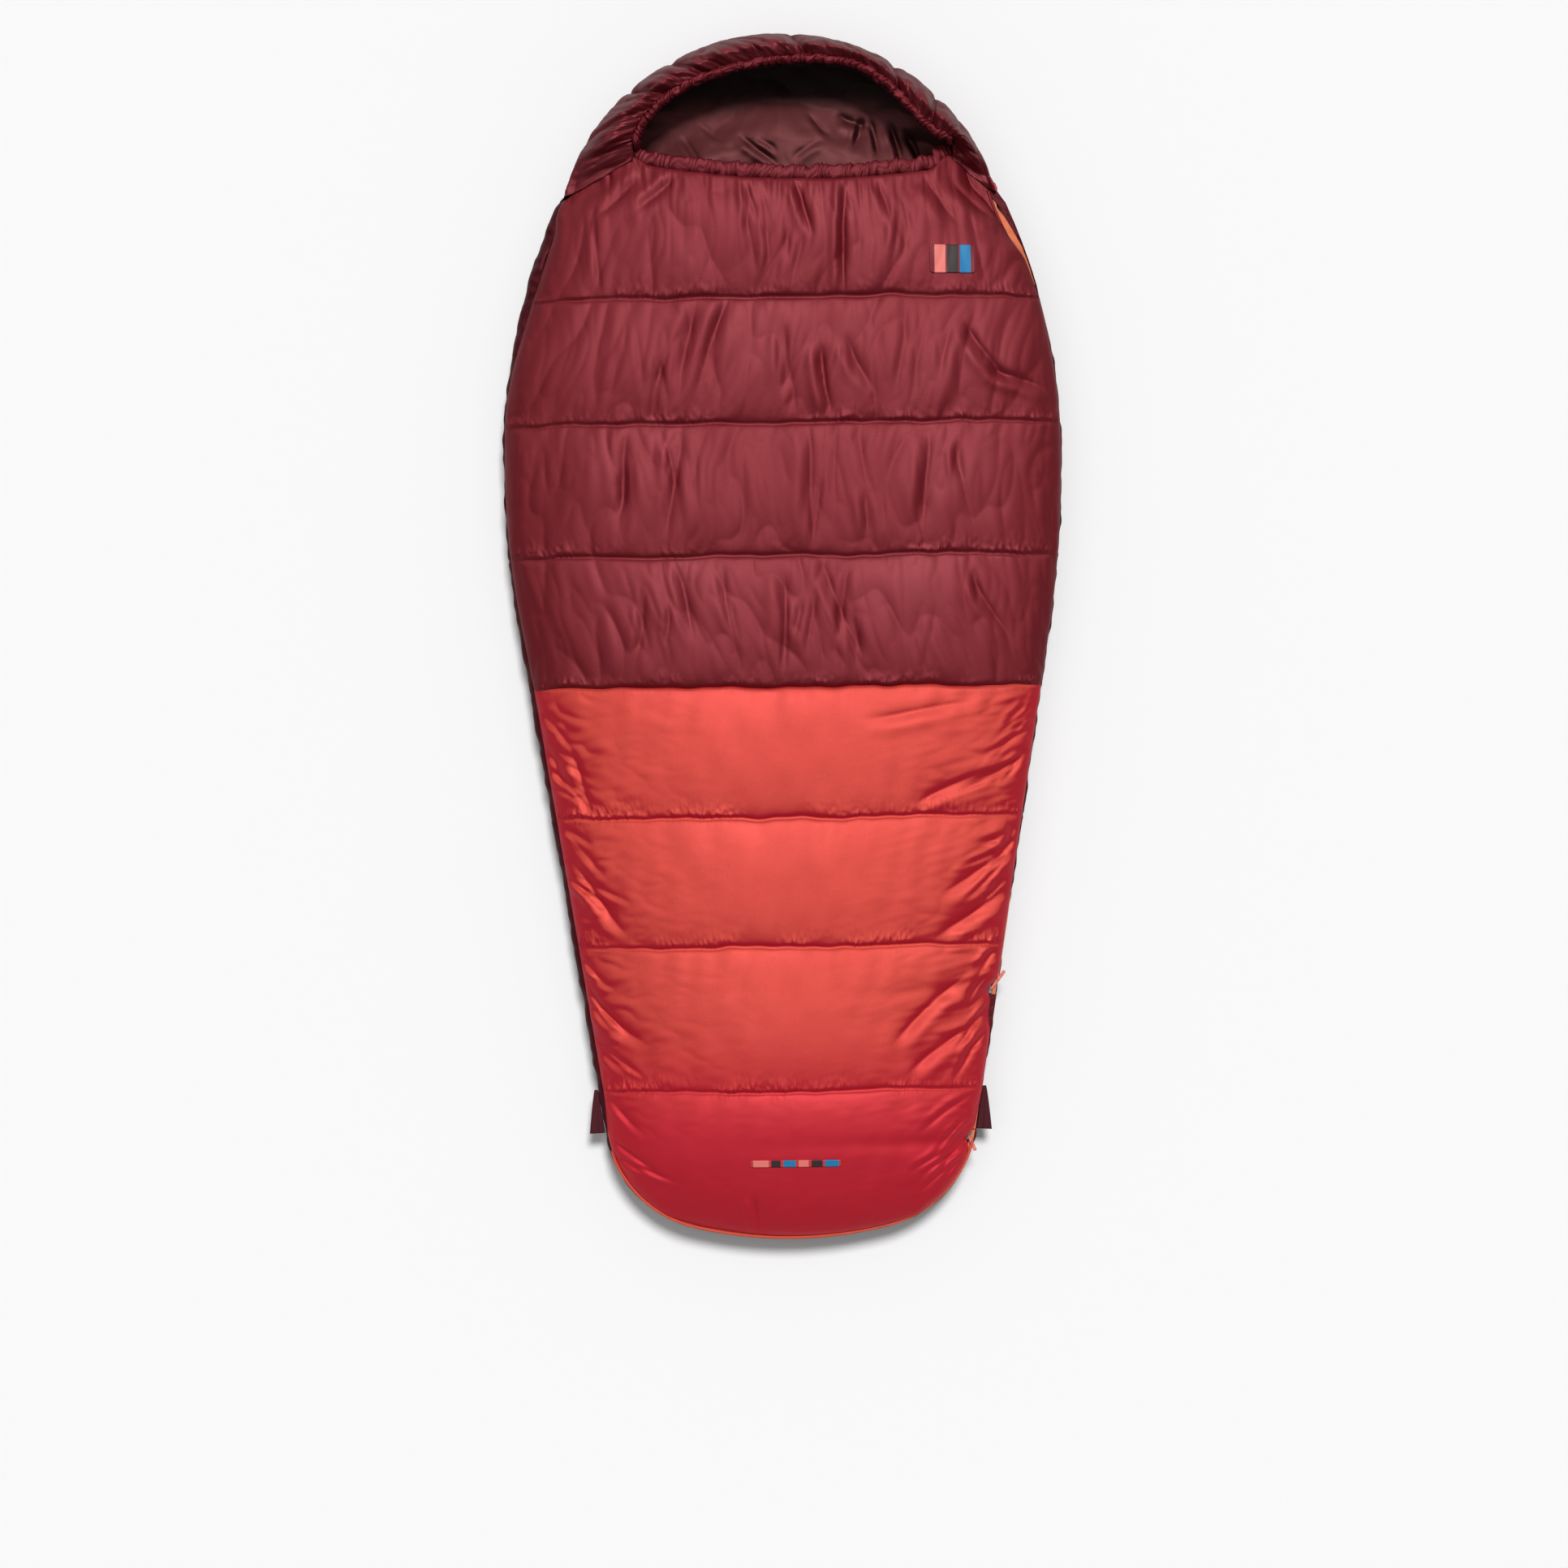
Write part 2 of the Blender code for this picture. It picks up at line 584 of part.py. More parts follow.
def make_stop(name, centre, turn, slot="metal"):
    """A small clip closing the end of the back's coil."""
    half = (BACK_COIL[1] - BACK_COIL[0]) / 2 + 0.0003
    verts = [(sx * half, sy * 0.0009, z) for sy in (-1, 1)
             for sx, z in ((-1, COIL_Z[0]), (1, COIL_Z[0]), (1, COIL_Z[1]), (-1, COIL_Z[1]))]
    faces = tube_walls(2, 4, 0) + [(0, 1, 2, 3), (4, 5, 6, 7)]
    item = add_object(name, verts, faces, slot, smooth=False, roughness=0.35, metallic=0.9)
    item.location = (centre[0], centre[1], 0.0)
    item.rotation_euler = (0.0, 0.0, turn)


def make_stops():
    radius = SHOULDER_R - TRACK_INSET
    turn = ZIP_TOP_ANGLE + 0.0022
    top = (SHOULDER_X + radius * math.cos(turn), SHOULDER_Y + radius * math.sin(turn))
    make_stop("side_zip_top_stop", top, turn)
    radius = CORNER_R - TRACK_INSET
    turn = -math.pi + ZIP_FOLD_ANGLE - 0.012
    end = (-CORNER_X + radius * math.cos(turn), CORNER_Y + radius * math.sin(turn))
    make_stop("foot_zip_end_stop", end, turn)


# ---------------------------------------------------------------- sliders and pulls

def extrude_outline(outline, low, high):
    """Vertices and faces of an outline of (x, z) points run along Y from low to high."""
    count = len(outline)
    verts = [(x, low, z) for x, z in outline] + [(x, high, z) for x, z in outline]
    faces = [(i, (i + 1) % count, count + (i + 1) % count, count + i) for i in range(count)]
    return verts, faces + [tuple(range(count)), tuple(range(count, 2 * count))]


def hidden(item):
    item.hide_render = True
    item.display_type = "WIRE"
    return item


def boolean(target, tool, operation):
    step = target.modifiers.new(operation.lower(), "BOOLEAN")
    step.operation = operation
    step.solver = "EXACT"
    step.object = hidden(tool)


def slider_outline():
    """Section across the slider: plate under both coils, post, plate over the back's coil."""
    low, top = PLATE_LOW_Z, PLATE_TOP_Z
    post = (TRACK_INSET - 0.0096, TRACK_INSET - 0.0090)
    inner, outer = TRACK_INSET - 0.0134, TRACK_INSET - 0.0055
    return [(inner, low), (outer, low), (outer, low + SLIDER_PLATE), (post[1], low + SLIDER_PLATE),
            (post[1], top), (outer + 0.0005, top), (outer + 0.0005, top + SLIDER_PLATE),
            (post[0], top + SLIDER_PLATE), (post[0], low + SLIDER_PLATE), (inner, low + SLIDER_PLATE)]


def bail_mesh(pull_turn, seat_y):
    """Staple on the slider's top plate that the pull's knuckle turns on."""
    foot = PLATE_TOP_Z + SLIDER_PLATE / 2
    bar_low, bar_top = BAIL_Z - BAIL_BAR, BAIL_Z + BAIL_BAR
    outline = [(-BAIL_OUTER, foot), (-BAIL_INNER, foot), (-BAIL_INNER, bar_low), (BAIL_INNER, bar_low),
               (BAIL_INNER, foot), (BAIL_OUTER, foot), (BAIL_OUTER, bar_top), (-BAIL_OUTER, bar_top)]
    verts, faces = extrude_outline(outline, -BAIL_BAR, BAIL_BAR)
    turn = Matrix.Rotation(pull_turn, 4, "Z")
    return [turn @ Vector(v) + Vector((0.0002, seat_y, 0.0)) for v in verts], faces


def make_slider(name, origin, turn, track_radius, pull_turn, seat_y):
    """A slider whose object sits at origin, its body track_radius along its own +X."""
    shift = Vector((track_radius, 0.0, 0.0))
    place = Matrix.Translation(origin) @ Matrix.Rotation(turn, 4, "Z")
    verts, faces = extrude_outline(slider_outline(), -SLIDER_HALF, SLIDER_HALF)
    body = add_object(name, [Vector(v) + shift for v in verts], faces, "metal", False, 0.35, 0.9)
    verts, faces = bail_mesh(pull_turn, seat_y)
    bail = add_object(name + "_bail_tool", [v + shift for v in verts], faces, "metal", False, 0.35, 0.9)
    for item in (body, bail):
        item.location = place.translation
        item.rotation_euler = (0.0, 0.0, turn)
    boolean(body, bail, "UNION")
    return place @ (shift + Vector((0.0002, seat_y, BAIL_Z)))


def pull_outline(length, width):
    """Plan outline of a pull lying along +Y: a neck at its knuckle, then a blade with round ends."""
    neck, half = KNUCKLE_HALF, width / 2
    points = [(neck, 0.0), (neck, 0.0035), (half, 0.0055)]
    points += [(half * math.cos(t), length - half + half * math.sin(t))
               for t in [math.pi * i / 8 for i in range(9)]]
    return points + [(-half, 0.0055), (-neck, 0.0035), (-neck, 0.0)]


def make_pull(name, pivot, heading, length, width, thick, slot):
    """A pull whose origin is on its hinge; heading is the plan angle it points along."""
    outline = pull_outline(length, width)
    count = len(outline)
    verts = [(x, y, -thick / 2) for x, y in outline] + [(x, y, thick / 2) for x, y in outline]
    faces = [(i, (i + 1) % count, count + (i + 1) % count, count + i) for i in range(count)]
    faces += [tuple(range(count)), tuple(range(count, 2 * count))]
    pull = add_object(name, verts, faces, slot, True, 0.45)
    across = [Vector((s * KNUCKLE_HALF, 0.0, 0.0)) for s in (-1, 1)]
    knuckle = rod(name + "_knuckle_tool", across, KNUCKLE_R, KNUCKLE_R, slot, 16)
    bore = rod(name + "_bore_tool", [2 * end for end in across], KNUCKLE_BORE, KNUCKLE_BORE, slot, 12)
    boolean(pull, knuckle, "UNION")
    boolean(pull, bore, "DIFFERENCE")
    for item in (pull, knuckle, bore):
        item.location = pivot
        item.rotation_euler = (0.0, 0.0, heading - math.pi / 2)


def make_sliders():
    """Three sliders: two on curved stretches of track, one on the straight leg."""
    up = math.pi / 2
    turn = TOP_SLIDER_ANGLE
    pivot = make_slider("top_slider", Vector((SHOULDER_X, SHOULDER_Y, 0.0)), turn,
                        SHOULDER_R - TRACK_INSET, -turn, 0.0015)
    make_pull("top_pull", pivot, up, 0.031, 0.008, 0.0022, "red_pull")
    turn, cant = -LEG_TAPER, math.radians(28)
    place = Vector((leg_x(LOW_SLIDER_Y, TRACK_INSET), LOW_SLIDER_Y, 0.0))
    pivot = make_slider("low_slider", place, turn, 0.0, -cant, 0.0015)
    make_pull("low_pull", pivot, up + turn - cant, 0.030, 0.0045, 0.0024, "coral_pull")
    turn, cant = FOOT_SLIDER_ANGLE, math.radians(142)
    pivot = make_slider("foot_slider", Vector((CORNER_X, CORNER_Y, 0.0)), turn,
                        CORNER_R - TRACK_INSET, -cant, -0.0015)
    make_pull("foot_pull", pivot, up + turn - cant, 0.020, 0.0045, 0.0024, "coral_pull")


# ---------------------------------------------------------------- loops, patch and label

def make_loop(name, side):
    """A hang loop folded flat, sewn along the edge seam and standing out past it."""
    level = (BACK_EDGE_LOW + BACK_EDGE_TOP) / 2
    start = Vector((half_width(LOOP_TOP_Y) + LOOP_GAP, LOOP_TOP_Y))
    finish = Vector((half_width(LOOP_LOW_Y) + LOOP_GAP, LOOP_LOW_Y))
    outline = [start, finish, finish + Vector((LOOP_REACH_LOW, -0.0015)), start + Vector((LOOP_REACH_TOP, 0.0))]
    verts = [((p.x - start.x) * side, p.y - start.y, z) for z in (-LOOP_THICK / 2, LOOP_THICK / 2)
             for p in outline]
    faces = tube_walls(2, 4, 0) + [(0, 1, 2, 3), (4, 5, 6, 7)]
    item = add_object(name, verts, faces, "wine_back", smooth=False)
    item.location = (start.x * side, start.y, level)


def drape(name, centre, size, steps, under, slot):
    """A thin sewn-on piece that follows the cloth beneath it."""
    bm = bmesh.new()
    bm.from_mesh(under.data)
    tree = BVHTree.FromBMesh(bm)
    bm.free()

    def resting(x, y):
        return tree.ray_cast(Vector((x, y, 1.0)), Vector((0, 0, -1)))[0].z + PATCH_CLEARANCE

    grid = [[(x, y) for x in spread(centre[0] - size[0] / 2, centre[0] + size[0] / 2,
                                    [i / steps[0] for i in range(steps[0] + 1)])]
            for y in spread(centre[1] + size[1] / 2, centre[1] - size[1] / 2,
                            [i / steps[1] for i in range(steps[1] + 1)])]
    layer(name, grid, resting, raised(resting, PATCH_THICK), slot)


def main():
    clear_scene()
    make_back()
    make_quilt_part("quilt", quilt_grid(), quilt_low, quilt_top)
    make_quilt_part("margin", margin_grid(), margin_low, margin_top)
    make_hood()
    make_hem()
    make_hood_rim()
    make_zips()
    make_draft_tube()
    make_stops()
    make_sliders()
    make_loop("hang_loop_right", 1.0)
    make_loop("hang_loop_left", -1.0)
    drape("chest_patch", PATCH_CENTRE, PATCH_SIZE, (8, 5), bpy.data.objects["quilt_shell_upper"], "patch")
    drape("foot_label", LABEL_CENTRE, LABEL_SIZE, (12, 2), bpy.data.objects["quilt_shell_lower"], "patch")


main()
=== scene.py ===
"""Looks for the child's mummy sleeping bag: quilted skins, hood, linings, zips, pulls and loops.

Metres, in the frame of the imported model. The bag lies on its back, head end towards +Y. Skins are
grids of cloth relaxed over their filling, so each keeps its seams and gathers where it is sewn.
"""

import json
import math

import bmesh
import bpy
import numpy as np
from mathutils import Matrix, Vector
from mathutils.bvhtree import BVHTree


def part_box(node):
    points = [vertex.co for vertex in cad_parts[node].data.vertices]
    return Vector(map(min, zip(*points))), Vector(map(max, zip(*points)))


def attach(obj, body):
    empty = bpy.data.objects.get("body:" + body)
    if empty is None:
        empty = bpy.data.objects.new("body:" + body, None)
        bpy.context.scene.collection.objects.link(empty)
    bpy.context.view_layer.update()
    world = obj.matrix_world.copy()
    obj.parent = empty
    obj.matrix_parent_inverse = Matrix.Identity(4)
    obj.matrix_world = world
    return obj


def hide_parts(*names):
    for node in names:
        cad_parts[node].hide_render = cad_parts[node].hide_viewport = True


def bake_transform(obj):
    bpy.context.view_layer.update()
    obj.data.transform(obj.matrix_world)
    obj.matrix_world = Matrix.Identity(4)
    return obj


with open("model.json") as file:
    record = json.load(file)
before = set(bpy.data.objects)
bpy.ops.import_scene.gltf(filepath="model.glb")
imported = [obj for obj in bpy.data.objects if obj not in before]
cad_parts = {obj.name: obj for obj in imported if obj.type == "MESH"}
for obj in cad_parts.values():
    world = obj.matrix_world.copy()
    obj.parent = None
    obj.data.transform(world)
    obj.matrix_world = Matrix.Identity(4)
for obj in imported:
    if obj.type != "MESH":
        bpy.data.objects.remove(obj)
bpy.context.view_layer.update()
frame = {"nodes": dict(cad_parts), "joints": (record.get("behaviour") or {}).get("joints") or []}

# Outline of the bag, tangent arcs of the right half
HOOD_Y, HOOD_R = 0.500, 0.300
SHOULDER_X, SHOULDER_Y, SHOULDER_R = -0.444, 0.241, 0.815
HIP_X, HIP_Y, HIP_R = -1.149, 0.241, 1.520
LEG_TAPER = math.radians(9.1)
CORNER_X, CORNER_Y, CORNER_R = 0.0925, -0.6328, 0.156
END_Y, END_R = -0.262, 0.538
END_HALF_ANGLE = math.atan2(CORNER_X, END_Y - CORNER_Y)
NOTCH_LOW_Y, NOTCH_HIGH_Y = 0.575, 0.600
FOOT_TIP_Y = END_Y - END_R

EDGE_ROUNDING = 0.020

# Quilting lines, head to foot
HEM_SEAM_Y = 0.602
SEAMS = (0.446, 0.281, 0.106, -0.067, -0.239, -0.410, -0.600)
COLOUR_SEAM = 3
COLOUR_CHANGE_Y = (-0.085, -0.045)

# Heights of the padded surfaces
CROWN_Z, SEAM_DIP, LOFT_RUN = 0.1200, 0.0125, 0.24
FIXED_EDGE_Z, ZIP_EDGE_Z = 0.0525, 0.0612
BACK_EDGE_Z, BACK_LIP_Z, BACK_ROUND = 0.0460, 0.0488, 0.045
QUILT_EDGE_LOW, CAVITY_RISE = 0.0570, 0.0180
DRAFT_INSET, DRAFT_HALF_WIDTH, DRAFT_HALF_HEIGHT, DRAFT_Z = 0.050, 0.013, 0.0045, 0.0542

# Face opening and hood band
OPEN_A, OPEN_B, OPEN_Y, OPEN_CORNER_Y = 0.193, 0.109, 0.655, 0.632
OPEN_A_RIGHT = 0.230
ARCH_LEFT, ARCH_RIGHT, ARCH_RIGHT_RISE, ARCH_SHIFT = (2.1, 0.58), (3.0, 2.1), 0.001, 0.028
HOOD_END = math.radians(73.55)
HOOD_CORNER = math.radians(66.0)
HOOD_SEAMS = (3.2, 31.0, -28.6, 44.3, -41.3)
HEM_X, HEM_Y, HEM_SAG, HEM_HALF, HEM_TILT = 0.0135, 0.6110, 0.018, 0.1945, 0.024


# ---------------------------------------------------------------- outline

def circle_x(y, centre_y, radius):
    return math.sqrt(max(0.0, radius ** 2 - (y - centre_y) ** 2))


def half_width_at(y, inset=0.0):
    """Distance from the centre line to the outline at y, drawn in by inset."""
    if y >= NOTCH_LOW_Y:
        hood = circle_x(y, HOOD_Y, HOOD_R - inset)
        shoulder = SHOULDER_X + circle_x(y, SHOULDER_Y, SHOULDER_R - inset)
        share = min(1.0, (y - NOTCH_LOW_Y) / (NOTCH_HIGH_Y - NOTCH_LOW_Y))
        return shoulder + (hood - shoulder) * share
    if y >= SHOULDER_Y:
        return SHOULDER_X + circle_x(y, SHOULDER_Y, SHOULDER_R - inset)
    leg_start = HIP_Y - (HIP_R - inset) * math.sin(LEG_TAPER)
    if y >= leg_start:
        return HIP_X + circle_x(y, HIP_Y, HIP_R - inset)
    if y >= CORNER_Y - (CORNER_R - inset) * math.sin(LEG_TAPER):
        start_x = HIP_X + (HIP_R - inset) * math.cos(LEG_TAPER)
        return start_x + (y - leg_start) * math.tan(LEG_TAPER)
    if y >= END_Y - (END_R - inset) * math.cos(END_HALF_ANGLE):
        return CORNER_X + circle_x(y, CORNER_Y, CORNER_R - inset)
    return circle_x(y, END_Y, END_R - inset)


TABLE_Y = np.linspace(FOOT_TIP_Y, HOOD_Y + HOOD_R, 1601)
TABLE_X = np.array([half_width_at(y) for y in TABLE_Y])


def half_width(y):
    return np.interp(y, TABLE_Y, TABLE_X)


def edge_distance(x, y):
    """How far points lie inside the outline, rounded where two sides are equally near."""
    side = half_width(y) - np.abs(x)
    foot = END_R - np.hypot(x, y - END_Y) + 0.30 * smooth(y, END_Y - 0.12, END_Y + 0.05)
    head = HOOD_R - np.hypot(x, y - HOOD_Y) + 0.12 * (1.0 - smooth(y, HOOD_Y, NOTCH_HIGH_Y))
    head = np.where(y > HOOD_Y, head, 1.0)
    foot = np.where(y < END_Y + 0.05, foot, 1.0)
    nearest = np.minimum(np.minimum(side, foot), head)
    total = sum(np.exp(-(each - nearest) / EDGE_ROUNDING) for each in (side, foot, head))
    rounding = np.log(total) * EDGE_ROUNDING * smooth(nearest, 0.0, 0.05)
    return np.maximum(nearest - rounding, 0.0)


def foot_corner(v, inset):
    """A point round the foot's corner: v is 0 at the end of the leg, 1 at the start of the foot's end."""
    turn = math.pi / 2 - END_HALF_ANGLE - LEG_TAPER
    angle = LEG_TAPER + turn * v
    radius = CORNER_R - inset
    return CORNER_X + radius * math.cos(angle), CORNER_Y - radius * math.sin(angle)


def rise(distance, run=LOFT_RUN):
    share = np.clip(distance / run, 0.0, 1.0)
    return (1.0 - (1.0 - share) ** 2) ** 0.6


def smooth(value, low, high):
    """0 below low, 1 above high, with an even turn between."""
    share = np.clip((value - low) / (high - low), 0.0, 1.0)
    return share * share * (3.0 - 2.0 * share)


# ---------------------------------------------------------------- cloth

TINY = 1e-9
THREAD_STIFFNESS, SHEAR_STIFFNESS, FOLD_STIFFNESS = 0.85, 0.35, 0.30
HAND_ON = 0.80


def norm(gaps):
    return np.sqrt(np.einsum("...k,...k", gaps, gaps))


def lengths(points, axis, step=1):
    """Distances between points that lie step cells apart."""
    return norm(points[:, step:] - points[:, :-step] if axis == 1 else points[step:] - points[:-step])


def move_apart(first, second, rest, free_first, free_second, stiffness):
    """Bring two sets of points to their rest distance."""
    gap = second - first
    length = norm(gap) + TINY
    share = stiffness * (length - rest) / length / (free_first + free_second + 1e-6)
    first += (share * free_first)[..., None] * gap
    second -= (share * free_second)[..., None] * gap


def keep_open(points, wanted, free, axis):
    """Limit how sharply the cloth folds: points two cells apart stay at least the wanted length apart."""
    if axis == 0:
        points, wanted, free = np.swapaxes(points, 0, 1), wanted.T, free.T
    gap = points[:, 2:] - points[:, :-2]
    length = norm(gap) + TINY
    push = np.where(length < wanted, FOLD_STIFFNESS * (wanted - length) / length, 0.0)[..., None] * gap
    points[:, 2:] += push * free[:, 2:, None]
    points[:, :-2] -= push * free[:, :-2, None]


def refine(offset, shape):
    """Spread offsets over a grid of twice the cells each way."""
    for axis in (0, 1):
        old = np.arange(offset.shape[axis])
        new = np.linspace(0, offset.shape[axis] - 1, shape[axis])
        low = np.minimum(new.astype(int), old[-1] - 1)
        share = (new - low).reshape((-1, 1, 1) if axis == 0 else (1, -1, 1))
        offset = np.take(offset, low, axis) * (1 - share) + np.take(offset, low + 1, axis) * share
    return offset


def ripple(shape, size, seed):
    """A slight uneven offset for spare cloth to buckle from."""
    draw = np.random.default_rng(seed)
    coarse = draw.normal(0.0, size, (shape[0] // 4 + 2, shape[1] // 4 + 2, 1))
    offset = np.zeros((*shape, 3))
    offset[..., 2:] = refine(refine(coarse, (2 * coarse.shape[0], 2 * coarse.shape[1])),
                             (4 * coarse.shape[0], 4 * coarse.shape[1]))[:shape[0], :shape[1]]
    return offset


def softened(offset, free, passes):
    """Take out ripples of one cell."""
    for _ in range(passes):
        for axis in (0, 1):
            ahead, behind = np.roll(offset, -1, axis), np.roll(offset, 1, axis)
            even = 0.25 * ahead + 0.5 * offset + 0.25 * behind
            edge = [slice(None)] * 3
            for end in (0, -1):
                edge[axis] = end
                even[tuple(edge)] = offset[tuple(edge)]
            offset = even * free[..., None]
    return offset


def settle(base, free, across, along, seed, rounds=(220, 120, 16), hold=0.010, reach=0.010,
           fold=(0.92, 0.96, 0.985)):
    """Relax cloth with spare length over its filling, coarse folds first.

    base is the padded surface as rows of points, free is 0 at sewn points, across and along are the
    spare shares of length, and seed is a slight starting offset. Returns the settled points.
    """
    offset = None
    for level, count, least in zip((4, 2, 1), rounds, fold):
        rest = base[::level, ::level]
        loose = free[::level, ::level]
        spare_x, spare_y = across[::level, ::level], along[::level, ::level]
        offset = seed[::level, ::level] if offset is None else refine(offset, rest.shape)
        points = rest + offset * loose[..., None]
        shape = points if level == 1 else rest
        flat_x, flat_y = lengths(shape, 1), lengths(shape, 0)
        open_x, open_y = least * lengths(rest, 1, 2), least * lengths(rest, 0, 2)
        spare = 0.0 if level == 1 else 1.0
        grow_x = spare * (spare_x[:, 1:] + spare_x[:, :-1]) / 2
        grow_y = spare * (spare_y[1:] + spare_y[:-1]) / 2
        slant_down = norm(shape[1:, 1:] - shape[:-1, :-1])
        slant_up = norm(shape[1:, :-1] - shape[:-1, 1:])
        grow_cell = (grow_x[1:] + grow_x[:-1] + grow_y[:, 1:] + grow_y[:, :-1]) / 4
        before = points.copy()
        for step in range(count):
            growth = min(1.0, 0.2 + step / (0.7 * count)) if level == 4 else 1.0
            rest_x, rest_y = flat_x * (1 + growth * grow_x), flat_y * (1 + growth * grow_y)
            drift = HAND_ON * (points - before) * loose[..., None]
            before = points.copy()
            points += drift - hold * (points - rest) * loose[..., None] * (0.2, 0.2, 1.0)
            for k in (0, 1):
                move_apart(points[:, k:-1:2], points[:, k + 1::2], rest_x[:, k::2],
                           loose[:, k:-1:2], loose[:, k + 1::2], THREAD_STIFFNESS)
                move_apart(points[k:-1:2], points[k + 1::2], rest_y[k::2],
                           loose[k:-1:2], loose[k + 1::2], THREAD_STIFFNESS)
            for k in (0, 1):
                cell = 1 + growth * grow_cell[k::2]
                hold_square(points, k, slant_down[k::2] * cell, slant_up[k::2] * cell, loose)
            keep_open(points, open_x, loose, 1)
            keep_open(points, open_y, loose, 0)
        offset = softened(points - rest, loose, 1 if level > 1 else 2)
        far = norm(offset) + TINY
        offset *= (np.tanh(far / reach) * reach / far)[..., None]
    return base + offset


def hold_square(points, k, slant_down, slant_up, loose):
    """Resist shear in the cells of every second row, gently."""
    top, low = points[k:-1:2], points[k + 1::2]
    free_top, free_low = loose[k:-1:2], loose[k + 1::2]
    for c in (0, 1):
        near, far = slice(c, -1, 2), slice(c + 1, None, 2)
        for one, other, slant in ((near, far, slant_down), (far, near, slant_up)):
            move_apart(top[:, one], low[:, other], slant[:, c::2], free_top[:, one], free_low[:, other],
                       SHEAR_STIFFNESS)


def even_rows(profile, columns):
    """Points spaced evenly along a dense profile."""
    gone = np.concatenate([[0.0], np.cumsum(lengths(profile, 0))])
    at = np.linspace(0.0, gone[-1], columns)
    return np.stack([np.interp(at, gone, profile[:, k]) for k in range(3)], axis=1)


def wave_noise(x, y, scale_x, scale_y, count=24, seed=0):
    """Smooth seeded noise, about -1 to 1, from many slanted waves."""
    draw = np.random.default_rng(seed)
    total = np.zeros_like(x)
    for _ in range(count):
        kx, ky = draw.normal(0, 1) / scale_x, draw.normal(0, 1) / scale_y
        total += np.cos(2 * math.pi * (kx * x + ky * y + draw.random()))
    return total / math.sqrt(count) * 0.8


def ridges(x, y, scale_x, scale_y, count, seed):
    """Noise with sharp valleys between rounded ridges."""
    return np.abs(wave_noise(x, y, scale_x, scale_y, count, seed)) ** 0.8 - 0.4


def patches(x, y, scale_x, scale_y, seed):
    """Slow noise from 0 to 1.2: the share of the spare cloth that each place gets."""
    return np.clip(0.5 + 0.5 * wave_noise(x, y, scale_x, scale_y, seed=seed), 0.0, 1.2)


def rows_away(count, sewn):
    """How many rows each row lies from the nearest sewn one."""
    return np.min([np.abs(np.arange(count) - row) for row in sewn], axis=0)[:, None]


def free_but_sewn(base, sewn):
    """1 where a grid of points may move, 0 on its sewn rows and at its sides."""
    free = np.ones(base.shape[:2])
    free[sewn] = 0.0
    free[:, 0] = free[:, -1] = 0.0
    return free


def placed(rows):
    """Rows of a table of folds, in metres."""
    metres = [[each / 10000 for each in row] for row in rows]
    return [((x0, y0), (x1, y1), width, depth) for x0, y0, x1, y1, width, depth in metres]


def crease(x, y, start, finish, width, depth):
    """Offset of a single long fold: a sharp valley, steeper on one side, with a fuller lip beside it."""
    line = np.array(finish) - np.array(start)
    size = np.hypot(*line)
    along = ((x - start[0]) * line[0] + (y - start[1]) * line[1]) / size ** 2
    aside = ((x - start[0]) * line[1] - (y - start[1]) * line[0]) / size
    aside = aside + 0.3 * width * np.sin(4.0 * along + 40.0 * start[0])
    ends = smooth(along, -0.15, 0.25) * (1.0 - smooth(along, 0.6, 1.15))
    slope = np.where(aside > 0, 1.3, 0.7) * width
    valley = -np.exp(-np.abs(aside) / slope) + 0.55 * np.exp(-((aside - 2.0 * width) / (1.2 * width)) ** 2)
    return depth * ends * valley


# ---------------------------------------------------------------- mesh helpers

def mesh_object(name, verts, faces):
    mesh = bpy.data.meshes.new(name)
    mesh.from_pydata([tuple(v) for v in verts], [], faces)
    mesh.update()
    mesh.shade_smooth()
    item = bpy.data.objects.new(name, mesh)
    bpy.context.collection.objects.link(item)
    return item


def grid_object(name, points, flip=False):
    rows, columns = points.shape[:2]
    corner = np.arange(rows * columns).reshape(rows, columns)
    quads = np.stack([corner[:-1, :-1], corner[1:, :-1], corner[1:, 1:], corner[:-1, 1:]], axis=-1)
    quads = quads.reshape(-1, 4)
    if flip:
        quads = quads[:, ::-1]
    return mesh_object(name, points.reshape(-1, 3).tolist(), quads.tolist())


def ring_faces(stations, around):
    """Faces of a solid through rings of points, capped at both ends."""
    faces = []
    for ring in range(stations - 1):
        for k in range(around):
            a, b = ring * around + k, ring * around + (k + 1) % around
            faces.append((a, b, b + around, a + around))
    last = (stations - 1) * around
    return faces + [tuple(range(around - 1, -1, -1)), tuple(range(last, last + around))]


def loft(name, rings):
    return mesh_object(name, rings.reshape(-1, 3).tolist(), ring_faces(*rings.shape[:2]))


def two_layers(name, top, under):
    """A thin closed piece from an upper and a lower grid of points."""
    rows, columns = top.shape[:2]
    count = rows * columns
    faces = []
    for r in range(rows - 1):
        for c in range(columns - 1):
            a, b = r * columns + c, r * columns + c + 1
            d, e = a + columns, b + columns
            faces += [(a, b, e, d), (count + a, count + d, count + e, count + b)]
    rim = list(range(columns)) + [r * columns + columns - 1 for r in range(1, rows)]
    rim += [(rows - 1) * columns + c for c in range(columns - 2, -1, -1)]
    rim += [r * columns for r in range(rows - 2, 0, -1)]
    faces += [(a, count + a, count + b, b) for a, b in zip(rim, rim[1:] + rim[:1])]
    return mesh_object(name, np.concatenate([top, under]).reshape(-1, 3).tolist(), faces)


def unit(vectors):
    return vectors / np.linalg.norm(vectors, axis=1)[:, None]


def across_and_up(ahead):
    """The directions across and above each direction of a path."""
    side = unit(np.cross(ahead, (0.0, 0.0, 1.0)))
    return side, np.cross(side, ahead)


